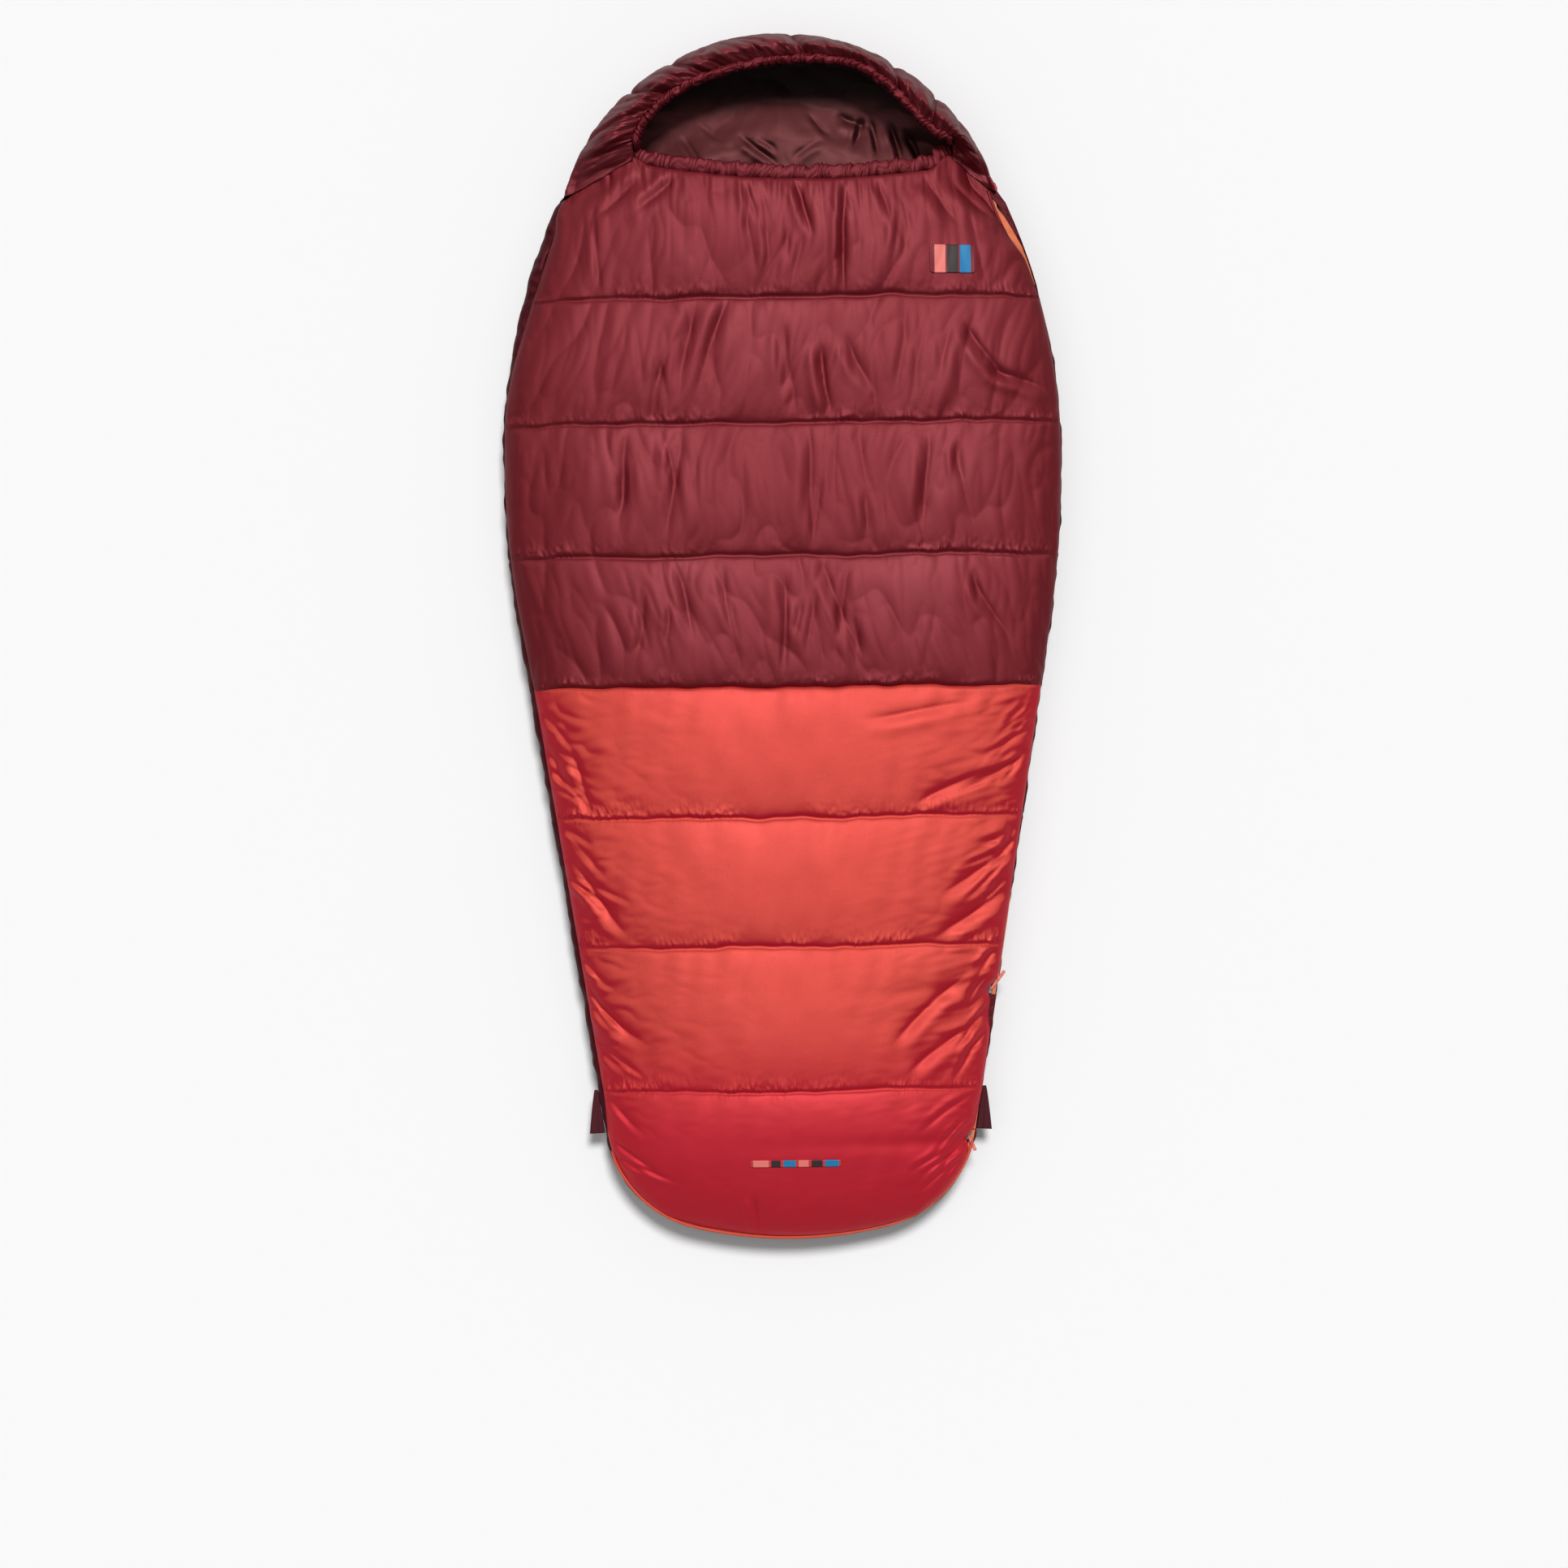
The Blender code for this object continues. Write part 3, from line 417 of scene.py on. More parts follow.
def walk(path):
    """Distance along a path at each of its points."""
    return np.concatenate([[0.0], np.cumsum(np.linalg.norm(np.diff(path, axis=0), axis=1))])


def circle(sides):
    return np.linspace(0, 2 * math.pi, sides, endpoint=False)


def at_height(plan, z):
    return np.concatenate([plan, np.full((len(plan), 1), z)], axis=1)


# ---------------------------------------------------------------- top of the bag

TOP_COLUMNS = 321
ROW_STEP = 0.0026
TOP_END_Y = 0.583
SEAM_WANDER = 0.0020
FOOT_INSET_LEFT, FOOT_INSET_RIGHT = 0.003, 0.004
LEG_END_Y = CORNER_Y - CORNER_R * math.sin(LEG_TAPER)


def fullness(share):
    return np.maximum(0.0, np.sin(math.pi * share)) ** 0.34


def left_inset(y):
    """How far the back's fabric wraps over the top on the side away from the zip."""
    shoulder = smooth(y, 0.30, 0.47) * (1 - smooth(y, 0.53, 0.59)) * 0.014
    leg = (1 - smooth(y, -0.10, 0.16)) * smooth(y, -0.66, -0.60) * 0.006
    neck = 0.003 * smooth(y, 0.56, 0.58)
    return 0.001 + shoulder + leg + neck + 0.002 * (1 - smooth(y, -0.66, -0.60))


def pull_room(y):
    """How far the quilt's edge is drawn back where the low pull and the foot pull stand up."""
    return 0.0100 * np.exp(-((y + 0.473) / 0.014) ** 2) + 0.0085 * np.exp(-((y + 0.671) / 0.011) ** 2)


def right_inset(y):
    """How far the quilt's edge lies inside the outline on the zip side."""
    shoulder = cover_width(y) + 0.0095 * smooth(y, 0.507, 0.535) - 0.0035 * smooth(y, 0.56, 0.59)
    slack = 0.0060 * np.exp(-((y + 0.503) / 0.018) ** 2)
    return 0.0007 + shoulder + slack + pull_room(y) + 0.0025 * (1 - smooth(y, -0.66, -0.60))


def side_share(x):
    """0 on the fixed side, 1 on the zip side."""
    return smooth(x, -0.15, 0.15)


def top_height(x, y, share):
    """Height of the padded top."""
    side = side_share(x)
    inset = left_inset(y) * (1 - side) + right_inset(y) * side
    edge = (FIXED_EDGE_Z + 0.5 * left_inset(y)) * (1 - side) + ZIP_EDGE_Z * side
    up = rise(edge_distance(x, y) - inset)
    return edge + up * (CROWN_Z - edge - SEAM_DIP * (1.0 - fullness(share)))


def hood_line_y(x, gap):
    """Edge between the hood's ends and the top, less a gap."""
    outer_x, outer_y = HOOD_R * math.sin(HOOD_END), HOOD_Y + HOOD_R * math.cos(HOOD_END)
    corner = np.where(x > 0, OPEN_A_RIGHT, OPEN_A)
    slope = (outer_y - OPEN_CORNER_Y) / (outer_x - corner)
    return OPEN_CORNER_Y + slope * (np.abs(x) - corner) - gap * np.hypot(1.0, slope)


def hem_line(x):
    """Middle line of the gathered hem."""
    x = x - HEM_X
    return HEM_Y + HEM_SAG * (x / HEM_HALF) ** 2 + 0.012 * smooth(x, 0.1845, 0.2185) - HEM_TILT * x


def top_edge_y(x):
    hem = hem_line(x) - 0.008 + 0.010 * smooth(np.abs(x - HEM_X), 0.1815, 0.2065)
    tucked = 0.008 - 0.009 * smooth(-x, 0.255, 0.280)
    gap = -0.003 * side_share(x) - tucked * (1 - side_share(x))
    return np.minimum(hem, hood_line_y(x, gap))


def spread(left, right, count=700):
    """x from -left to right, closer together near both ends."""
    turn = np.linspace(-math.pi / 2, math.pi / 2, count)
    side = 0.25 * np.linspace(-1, 1, count) + 0.75 * np.sin(turn)
    return np.where(side < 0, side * left, side * right)


def body_row(level, share):
    x = spread(half_width(level) - left_inset(level), half_width(level) - right_inset(level))
    return x, np.full_like(x, level), share


def hem_row(lower, share):
    x = body_row(TOP_END_Y + (lower - TOP_END_Y) * share, share)[0]
    return x, top_edge_y(x) + (lower - top_edge_y(x)) * share, share


def foot_row(v):
    left_x, left_y = foot_corner(v, FOOT_INSET_LEFT)
    right_x, right_y = foot_corner(v, FOOT_INSET_RIGHT + pull_room(foot_corner(v, 0.0)[1]))
    middle_y = LEG_END_Y + (FOOT_TIP_Y + FOOT_INSET_RIGHT - LEG_END_Y) * v
    x = spread(left_x, right_x)
    side = np.where(x < 0, x / left_x, x / right_x)
    y = middle_y + np.where(x < 0, left_y - middle_y, right_y - middle_y) * side ** 2
    share = np.minimum(0.5, (SEAMS[-1] - middle_y) / (SEAMS[-1] - FOOT_TIP_Y))
    return x, y, share


def row_plan(step, first_row, level_row, last_row):
    """Rows from head to foot and the indices of the sewn ones."""
    lines = (HEM_SEAM_Y,) + SEAMS
    rows, sewn = [], []
    for number, (upper, lower) in enumerate(zip(lines, lines[1:])):
        count = 4 * round((upper - lower) / step / 4)
        sewn.append(len(rows))
        for k in range(count):
            share = k / count
            level = upper + (lower - upper) * share
            rows.append(first_row(lower, share) if number == 0 else level_row(level, share))
    sewn.append(len(rows))
    straight = 4 * round((SEAMS[-1] - LEG_END_Y) / step / 4)
    bent = 4 * round(BENT_LENGTH / step / 4)
    for k in range(straight):
        level = SEAMS[-1] + (LEG_END_Y - SEAMS[-1]) * k / straight
        rows.append(level_row(level, (SEAMS[-1] - level) / (SEAMS[-1] - FOOT_TIP_Y)))
    rows += [last_row(k / bent) for k in range(bent + 1)]
    return rows, sewn


def top_base():
    """The smooth padded top as a grid of points, with its sewn rows."""
    rows, sewn = row_plan(ROW_STEP, hem_row, body_row, foot_row)
    lines = []
    for x, y, share in rows:
        z = top_height(x, y, share)
        lines.append(even_rows(np.stack([x, y, z], axis=1), TOP_COLUMNS))
    base = np.array(lines)
    x, y = base[..., 0], base[..., 1]
    inner = smooth(y, -0.64, -0.58) * (1 - smooth(y, 0.50, 0.56)) * smooth(edge_distance(x, y), 0.0, 0.05)
    base[..., 1] += SEAM_WANDER * inner * wave_noise(x, y, 0.11, 0.30, 40, seed=18)
    return base, sewn


# Long folds in tenths of a millimetre: x and y of the start, x and y of the finish, width, depth
TOP_CREASES = (
    (880, 5900, 810, 4400, 60, 60), (190, 5980, 440, 5300, 60, 50), (-1400, 6060, -1870, 5600, 70, 50),
    (-1860, 6040, -2440, 5560, 70, 45), (1910, 6000, 2330, 5480, 80, 45),
    (2290, 6000, 2860, 5480, 70, 45), (-410, 5960, -320, 5450, 60, 35),
    (1310, 5980, 1460, 5400, 60, 35), (-1150, 4360, -1330, 3180, 90, 45),
    (-710, 4360, -1110, 3300, 80, 45), (500, 3760, 660, 2920, 70, 60), (880, 3900, 1170, 3220, 80, 40),
    (2430, 4100, 2990, 3300, 85, 55), (2750, 3520, 3480, 3220, 75, 50),
    (-2020, 2680, -2180, 1500, 90, 45), (-1340, 2640, -1500, 1400, 80, 35),
    (330, 2700, 420, 1250, 90, 45), (1910, 2640, 1860, 1400, 80, 40), (-1430, 940, -1170, -20, 80, 45),
    (470, 960, 1000, -200, 90, 45), (10, 800, -50, -600, 90, 35), (2470, 800, 2970, -100, 75, 45),
    (-3190, -1400, -2940, -1960, 70, 50), (-2850, -1500, -2560, -2260, 70, 40),
    (1120, -1080, 2430, -920, 80, 35), (1750, -2220, 2620, -1760, 75, 50),
    (3010, -1700, 2140, -2140, 80, 50), (-2830, -3000, -2170, -3860, 75, 55),
    (2030, -3960, 2950, -3300, 85, 60), (2120, -3400, 3020, -2720, 80, 50),
    (-2570, -4860, -1920, -5340, 80, 50), (1420, -5300, 2300, -4520, 80, 55),
    (1610, -5740, 2360, -5180, 80, 55), (-470, -7420, -460, -7860, 50, 45),
)


def gathers(base, sewn):
    """Spare length of the top across and along, as shares."""
    x, y = base[..., 0], base[..., 1]
    near_seam = np.exp(-rows_away(len(base), sewn) * ROW_STEP / 0.009)
    side = np.exp(-(edge_distance(x, y)) / 0.070)
    upper = smooth(y, *COLOUR_CHANGE_Y)
    uneven = patches(x, y, 0.12, 0.06, 3)
    hem = np.exp(-np.maximum(0.0, top_edge_y(x) - y) / 0.055) * (1 - smooth(np.abs(x), 0.21, 0.27))
    patches_of_folds = 0.5 + 0.9 * wave_noise(x, y, 0.16, 0.10, seed=4)
    patchy = np.clip(patches_of_folds - 0.8 * side_share(x + 0.1) * upper, 0, 1.5)
    across = 0.002 + 0.005 * upper * uneven + near_seam * (0.010 + 0.070 * patchy) * (0.5 + 0.5 * upper)
    across += 0.028 * hem
    along = 0.001 + side * 0.045 * uneven * (0.2 + 0.8 * smooth(y, -0.68, -0.61)) + 0.002 * upper
    return across, along


def seeded_creases():
    """Small folds: long ones down the upper channels, slanting ones at the lower sides."""
    draw = np.random.default_rng(19)
    folds = []
    for upper, lower in zip((HEM_SEAM_Y,) + SEAMS[:3], SEAMS[:4]):
        for _ in range(13):
            x = draw.uniform(-0.27, 0.28)
            y = lower + (upper - lower) * draw.uniform(0.45, 0.98)
            size = draw.uniform(0.045, 0.12)
            tilt = draw.normal(0.0, 0.16)
            folds.append(((x, y), (x + size * math.sin(tilt), y - size * math.cos(tilt)),
                          draw.uniform(0.0040, 0.0075), draw.uniform(0.0008, 0.0024)))
    for upper, lower in zip(SEAMS[3:], SEAMS[4:] + (FOOT_TIP_Y + 0.06,)):
        for side, count in ((-1, 6), (1, 9)):
            for _ in range(count):
                y = lower + (upper - lower) * draw.uniform(0.25, 0.95)
                x = side * (float(half_width(y)) - draw.uniform(0.006, 0.020))
                size = draw.uniform(0.030, 0.085)
                tilt = math.radians(draw.uniform(22.0, 55.0))
                finish = (x - side * size * math.cos(tilt), max(lower + 0.004, y - size * math.sin(tilt)))
                folds.append(((x, y), finish, draw.uniform(0.0028, 0.0050), draw.uniform(0.0014, 0.0036)))
    return folds


def top_folds(base, sewn):
    """Heights of the folds that the top has taken, over its smooth padding."""
    x, y = base[..., 0], base[..., 1]
    lift = np.zeros_like(x)
    for fold in placed(TOP_CREASES) + seeded_creases():
        lift += crease(x, y, *fold)
    upper = smooth(y, *COLOUR_CHANGE_Y)
    side = np.exp(-edge_distance(x, y) / 0.075)
    bend = x + 0.022 * np.sin(9 * y) + 0.004 * np.sin(31 * y + 5 * x)
    lift += 0.0026 * upper * ridges(bend, y, 0.100, 0.26, 60, 11)
    lift += 0.0008 * upper * ridges(bend, y, 0.045, 0.15, 60, 15)
    slanted = x - 0.6 * np.sign(x) * y
    calm = 0.25 + 0.75 * smooth(y, -0.68, -0.61)
    lift += 0.0024 * (1 - upper) * calm * side * np.abs(wave_noise(slanted, y, 0.10, 0.045, 50, seed=13))
    lift += 0.0006 * (1 - upper) * wave_noise(x, y, 0.07, 0.16, 40, seed=16)
    hem = np.exp(-np.maximum(0.0, top_edge_y(x) - y) / 0.034) * (1 - smooth(np.abs(x), 0.21, 0.27))
    lift += 0.0034 * hem * (np.abs(wave_noise(x, y, 0.034, 0.30, 40, seed=14)) ** 0.7 - 0.5)
    gap = np.full_like(x, 1.0)
    for row in sewn[1:]:
        above = (row - np.arange(base.shape[0]))[:, None] * ROW_STEP
        gap = np.minimum(gap, np.where(above >= 0, above, 0.012 - 2 * above))
    place = np.clip(0.35 + 0.9 * wave_noise(x, y, 0.14, 0.10, 40, seed=4) + 0.5 * np.abs(x) / 0.3, 0.05, 1.3)
    puckers = np.abs(wave_noise(x, y, 0.009, 0.04, 50, seed=24)) ** 0.7
    lift += 0.0056 * place * np.exp(-gap / 0.0080) * puckers
    return lift


def make_top():
    base, sewn = top_base()
    free = free_but_sewn(base, sewn)
    free[-1] = 0.0
    opening_up = np.minimum(1.0, rows_away(len(base), sewn) * ROW_STEP / 0.005)
    base[..., 2] += top_folds(base, sewn) * free * (0.3 + 0.7 * opening_up)
    points = base
    across, along = gathers(base, sewn)
    points = settle(base, free, across, along, ripple(free.shape, 0.0006, 17))
    cut = sewn[COLOUR_SEAM + 1]
    upper = grid_object("quilt_panel_upper", points[:cut + 1])
    lower = grid_object("quilt_panel_lower", points[cut:])
    return upper, lower, points, sewn


# ---------------------------------------------------------------- hood

HOOD_COLUMNS, HOOD_ROWS = 353, 49
HOOD_EDGE_Z, HOOD_LOFT, HOOD_RIM_DROP, HOOD_SEAM_DIP = 0.0485, 0.071, 0.014, 0.030
RIM_Z, RIM_RADIUS, RIM_INSET = 0.1000, 0.0056, 0.0040


def seam_gap(degrees):
    """Angle from a direction to the hood's nearest stitched line."""
    return np.min([np.abs(degrees - seam) for seam in HOOD_SEAMS], axis=0)


def hood_bulge(degrees):
    """0 on a stitched line, 1 in the middle of a lobe."""
    return 1.0 - np.exp(-(seam_gap(degrees) / 1.7))


def arch(turn, inset):
    """The opening's upper edge, round on the left and pinched on the right: turn is -90 to 90 degrees."""
    right = turn > 0
    across = np.minimum(1.0, np.abs(np.sin(turn)) ** 1.2)
    swell, fall = np.where(right, ARCH_RIGHT[0], ARCH_LEFT[0]), np.where(right, ARCH_RIGHT[1], ARCH_LEFT[1])
    x = (np.where(right, OPEN_A_RIGHT, OPEN_A) - inset) * np.sign(turn) * across
    y = OPEN_Y + (OPEN_B - inset) * (1.0 - across ** swell) ** fall
    return x + ARCH_SHIFT * np.cos(turn) ** 2, y + ARCH_RIGHT_RISE * np.where(right, across ** 4, 0.0)


def hood_inner(angle):
    """The opening's rim as seen from the hood's centre."""
    turn = math.pi / 2 * np.clip(angle / HOOD_CORNER, -1.0, 1.0)
    past = np.maximum(0.0, np.abs(angle) - HOOD_CORNER) / (HOOD_END - HOOD_CORNER)
    x, y = arch(turn, 0.0)
    return x, y - past * (y - OPEN_CORNER_Y)


def hood_base():
    angle = np.linspace(-HOOD_END, HOOD_END, HOOD_COLUMNS)
    degrees = np.degrees(angle)
    lobes = hood_bulge(degrees)
    notch = 1.0 - np.where(np.abs(degrees) < 15.0, 0.4, 0.9) * np.exp(-(seam_gap(degrees) / 1.1))
    inner_x, inner_y = hood_inner(angle)
    share = (0.5 - 0.5 * np.cos(np.linspace(0, math.pi, 300))) * 0.6 + np.linspace(0, 1, 300) * 0.4
    bulge = np.exp(-share / 0.14) * np.sin(np.minimum(1.0, share / 0.06) * math.pi / 2)
    lines = []
    for k in range(HOOD_COLUMNS):
        swell = 0.0062 * notch[k] * bulge
        radius = HOOD_R - 0.0015 + swell
        outer_x, outer_y = radius * math.sin(angle[k]), HOOD_Y + radius * math.cos(angle[k])
        x = outer_x + (inner_x[k] - outer_x) * share
        y = outer_y + (inner_y[k] - outer_y) * share
        crown = HOOD_LOFT * rise(share, 0.75) - HOOD_RIM_DROP * np.maximum(0.0, share - 0.6) / 0.4
        dip = HOOD_SEAM_DIP * (1.0 - lobes[k]) * np.sin(math.pi / 2 * np.minimum(1.0, share / 0.30))
        z = HOOD_EDGE_Z + crown - dip * (1.0 - 0.6 * share)
        ending = float(smooth(abs(degrees[k]), 60.0, 73.5))
        lowered = np.maximum(HOOD_EDGE_Z, top_height(x, y, 0.04) + 0.003)
        z = z + (lowered - z) * ending * smooth(share, 0.0, 0.16)
        lines.append(even_rows(np.stack([x, y, z], axis=1), HOOD_ROWS))
    return np.swapaxes(np.array(lines), 0, 1), degrees


HOOD_CREASES = (
    (-59.2, 0.15, -50.2, 0.95, 0.0085), (-64.2, 0.30, -67.7, 0.98, 0.0065),
    (-34.2, 0.35, -34.7, 0.95, 0.0050),
    (-12.2, 0.25, -4.2, 0.80, 0.0045), (13.8, 0.25, 19.8, 0.85, 0.0050), (37.8, 0.30, 39.8, 0.95, 0.0050),
    (51.8, 0.15, 57.8, 0.95, 0.0070), (61.8, 0.25, 67.8, 0.95, 0.0070), (68.8, 0.10, 71.8, 0.80, 0.0055),
    (-47.2, 0.10, -44.2, 0.80, 0.0050), (-20.2, 0.30, -24.2, 0.90, 0.0040), (25.8, 0.30, 22.8, 0.90, 0.0040),
)


def hood_gathers():
    """Short creases running out from the gathered rim."""
    draw = np.random.default_rng(57)
    found = []
    for middle in np.linspace(-64.0, 66.0, 46):
        finish = middle + draw.uniform(-1.0, 1.0)
        start = finish + draw.uniform(-5.0, 5.0)
        found.append((start, draw.uniform(0.40, 0.78), finish, 1.05, draw.uniform(0.0012, 0.0036)))
    return found


def make_hood():
    base, degrees = hood_base()
    share = np.linspace(0, 1, HOOD_ROWS)[:, None]
    angle = np.broadcast_to(degrees, base.shape[:2])
    free = free_but_sewn(base, [0, -1])
    seams = [int(np.argmin(np.abs(degrees - seam))) for seam in HOOD_SEAMS]
    free[:, seams] = 0.0
    uneven = patches(angle, share * 20, 14.0, 12.0, 5)
    across = 0.010 + 0.04 * uneven * share ** 1.5 + 0.08 * np.exp(-(1 - share) / 0.16)
    along = 0.005 + 0.015 * uneven + 0.04 * (1 - hood_bulge(degrees))[None]
    lift = 0.0036 * (0.35 + share) * ridges(angle, share, 9.0, 1.0, 50, 21)
    lift += 0.0015 * (0.2 + share) * ridges(angle, share, 4.0, 0.7, 50, 22)
    for folds, width in ((HOOD_CREASES, 0.022), (hood_gathers(), 0.015)):
        for start, s0, finish, s1, depth in folds:
            ends = (start / 60.0, s0), (finish / 60.0, s1)
            lift += crease(angle / 60.0, share + 0 * angle, *ends, width, depth)
    outward = np.stack([np.sin(np.radians(angle)), np.cos(np.radians(angle))], axis=-1)
    steep = np.exp(-share / 0.15)
    quiet = free * np.minimum(1.0, seam_gap(degrees) / 1.5)[None]
    base[..., 2] += lift * quiet * (1 - 0.7 * steep)
    base[..., :2] += outward * (lift * quiet * 0.8 * steep)[..., None]
    points = base
    points = settle(base, free, across + 0 * angle, along + 0 * angle, ripple(free.shape, 0.0008, 23),
                    rounds=(160, 120, 16), hold=0.010, reach=0.008)
    return grid_object("hood_panel", points, flip=True), [points[4:-3, seam] for seam in seams]


def rim_path():
    """The opening's rim from the right corner over the top to the left corner."""
    turn = np.linspace(math.pi / 2 + 0.10, -math.pi / 2 - 0.10, 460)
    low = np.maximum(0.0, np.abs(turn) - math.pi / 2)
    held = np.clip(turn, -math.pi / 2, math.pi / 2)
    x, y = arch(held, RIM_INSET)
    z = RIM_Z + 0.0035 * np.cos(held) - 0.06 * low
    return np.stack([x, y - 0.10 * low, z], axis=1)


def ruched(name, path, half_width_now, half_height, spacing, depth, seed, around=28, slant=0.5):
    """A sewn tunnel gathered on its elastic: an uneven row of puffs round a path, closed at both ends."""
    draw = np.random.default_rng(seed)
    side, up = across_and_up(unit(np.gradient(path, axis=0)))
    gone = walk(path)
    at, round_ = np.meshgrid(gone, circle(around), indexing="ij")
    shift = slant * spacing * np.cos(round_ - draw.random() * 6)
    shift += 0.5 * spacing * wave_noise(at, round_, 3.5 * spacing, 6.0, 12, seed)
    warped = (at + shift) / spacing + 0.8 * wave_noise(at, round_ * 0, 4 * spacing, 9.0, 12, seed + 1)
    puff = np.abs(np.sin(math.pi * warped)) ** 0.65
    fine = np.abs(np.sin(2.3 * math.pi * warped + 2.0 * np.cos(round_))) ** 0.8
    strength = 0.75 + 0.45 * wave_noise(at, round_, 2.5 * spacing, 2.5, 12, seed + 2)
    swell = 1.0 + depth * strength * (puff - 0.62) + 0.35 * depth * (fine - 0.6)
    ends = np.minimum(1.0, np.minimum(at, gone[-1] - at) / (1.2 * spacing)) ** 0.5
    swell *= 0.15 + 0.85 * ends
    lean = 0.22 * half_width_now * wave_noise(gone, gone * 0, 2.2 * spacing, 1.0, 12, seed + 3)
    centre = path + side * lean[:, None]
    return loft(name, centre[:, None] + side[:, None] * (half_width_now * swell * np.cos(round_))[..., None]
                + up[:, None] * (half_height * swell * np.sin(round_))[..., None])


def make_rim():
    return ruched("hood_rim_casing", rim_path(), RIM_RADIUS, RIM_RADIUS, 0.0115, 0.75, seed=31)


def make_hem():
    x = HEM_X + np.linspace(-HEM_HALF - 0.018, HEM_HALF + 0.026, 440)
    y = hem_line(x) + 0.004 * smooth(np.abs(x - HEM_X), 0.1765, 0.2005)
    z = top_height(x, y - 0.008, 0.0) - 0.0030
    return ruched("hem_casing", np.stack([x, y, z], axis=1), 0.0100, 0.0040, 0.0110, 0.40, seed=44,
                  around=32, slant=0.35)


def make_hood_lining():
    """The hood's inner face, from just inside the rim out to its sewn edge."""
    angle = np.linspace(-HOOD_END, HOOD_END, 161)
    inner_x, inner_y = hood_inner(angle)
    share = np.linspace(0, 1, 37)[:, None]
    centre_pull = 0.009 * np.exp(-(angle / 0.8) ** 2) + 0.002
    outer = HOOD_R - 0.008
    outer_x, outer_y = outer * np.sin(angle), HOOD_Y + outer * np.cos(angle)
    path = 1.0 - share
    x = outer_x + (inner_x - outer_x) * path
    y = outer_y + (inner_y - outer_y) * path
    tuck = np.sin(math.pi * np.clip(share / 0.22, 0, 1)) ** 0.7 * (share < 0.22)
    length = np.hypot(inner_x, inner_y - HOOD_Y)
    x = x - inner_x / length * (RIM_INSET + centre_pull * tuck)
    y = y - (inner_y - HOOD_Y) / length * (RIM_INSET + centre_pull * tuck)
    z = 0.050 + (RIM_Z - 0.053) * np.sin(math.pi / 2 * np.clip(path, 0, 1)) ** 0.9 + 0 * x
    ending = smooth(np.abs(np.degrees(angle)), 56.0, 71.0)
    z = z + np.minimum(0.0, top_height(x, y, 0.04) - 0.009 - z) * ending
    wrinkle = 0.0022 * wave_noise(np.degrees(angle) + 0 * share, share * 30, 5.0, 14.0, 50, seed=61)
    fade = np.sin(math.pi * np.clip(share * 0.9 + 0.08, 0, 1))
    y = y + wrinkle * fade
    z = z + wrinkle * fade * 0.8
    return grid_object("hood_lining", np.stack([x, y, z], axis=-1))


# ---------------------------------------------------------------- back

BACK_STEP, BACK_COLUMNS = 0.0045, 217
HEAD_LENGTH, STRAIGHT_LENGTH, BENT_LENGTH = 0.29, 0.0575, 0.165
HEAD_TIP = math.radians(0.2)
BACK_SIDE_Z, BACK_LIP_START_Z = 0.0425, 0.0428


def floor_side(distance):
    share = np.minimum(distance / BACK_ROUND, 1.0)
    return BACK_SIDE_Z * (1.0 - np.sqrt(np.maximum(0.0, 1.0 - (1.0 - share) ** 2)))


def head_row(tilt):
    """A row bent round the head end; tilt is the angle of its ends from +Y."""
    edge_x, edge_y = HOOD_R * math.sin(tilt), HOOD_Y + HOOD_R * math.cos(tilt)
    middle_y = HOOD_Y + HOOD_R - (HOOD_Y + HOOD_R - HEM_SEAM_Y) * tilt / HOOD_END
    x = spread(edge_x, edge_x, 500)
    y = middle_y + (edge_y - middle_y) * (x / edge_x) ** 2
    inward = (-math.sin(tilt), -math.cos(tilt))
    return x, y, inward


def back_rows(step):
    """Rows over the whole back as (x, y, share, inward direction of the right end), with the sewn rows."""
    rows, sewn = [], []
    head = 4 * round(HEAD_LENGTH / step / 4)
    top_y = HOOD_Y + HOOD_R * math.cos(HOOD_END)
    for k in range(head):
        x, y, inward = head_row(HEAD_TIP + (HOOD_END - HEAD_TIP) * (k / head) ** 1.15)
        rows.append((x, y, 0.15 + 0.85 * k / head, inward))
    lines = (top_y,) + SEAMS
    for upper, lower in zip(lines, lines[1:]):
        count = 4 * round((upper - lower) / step / 4)
        sewn.append(len(rows))
        for k in range(count):
            share = k / count
            level = upper + (lower - upper) * share
            x = spread(half_width(level), half_width(level), 500)
            bow = (HEM_SEAM_Y - top_y) * (1 - share) * (1 - (x / x[-1]) ** 2) if upper == top_y else 0.0
            rows.append((x, level + bow + 0 * x, share, (-1.0, 0.0)))
    sewn.append(len(rows))
    straight, bent = 4 * round(STRAIGHT_LENGTH / step / 4), 4 * round(BENT_LENGTH / step / 4)
    for k in range(straight):
        level = SEAMS[-1] + (LEG_END_Y - SEAMS[-1]) * k / straight
        x = spread(half_width(level), half_width(level), 500)
        rows.append((x, level + 0 * x, 0.5 * k / straight, (-1.0, 0.0)))
    turn = math.pi / 2 - END_HALF_ANGLE - LEG_TAPER
    for k in range(bent + 1):
        edge_x, edge_y = foot_corner(k / bent, 0.0)
        middle_y = LEG_END_Y + (FOOT_TIP_Y - LEG_END_Y) * k / bent
        x = spread(edge_x, edge_x, 500)
        angle = LEG_TAPER + turn * k / bent
        rows.append((x, middle_y + (edge_y - middle_y) * (x / edge_x) ** 2, 0.5,
                     (-math.cos(angle), math.sin(angle))))
    return rows, sewn


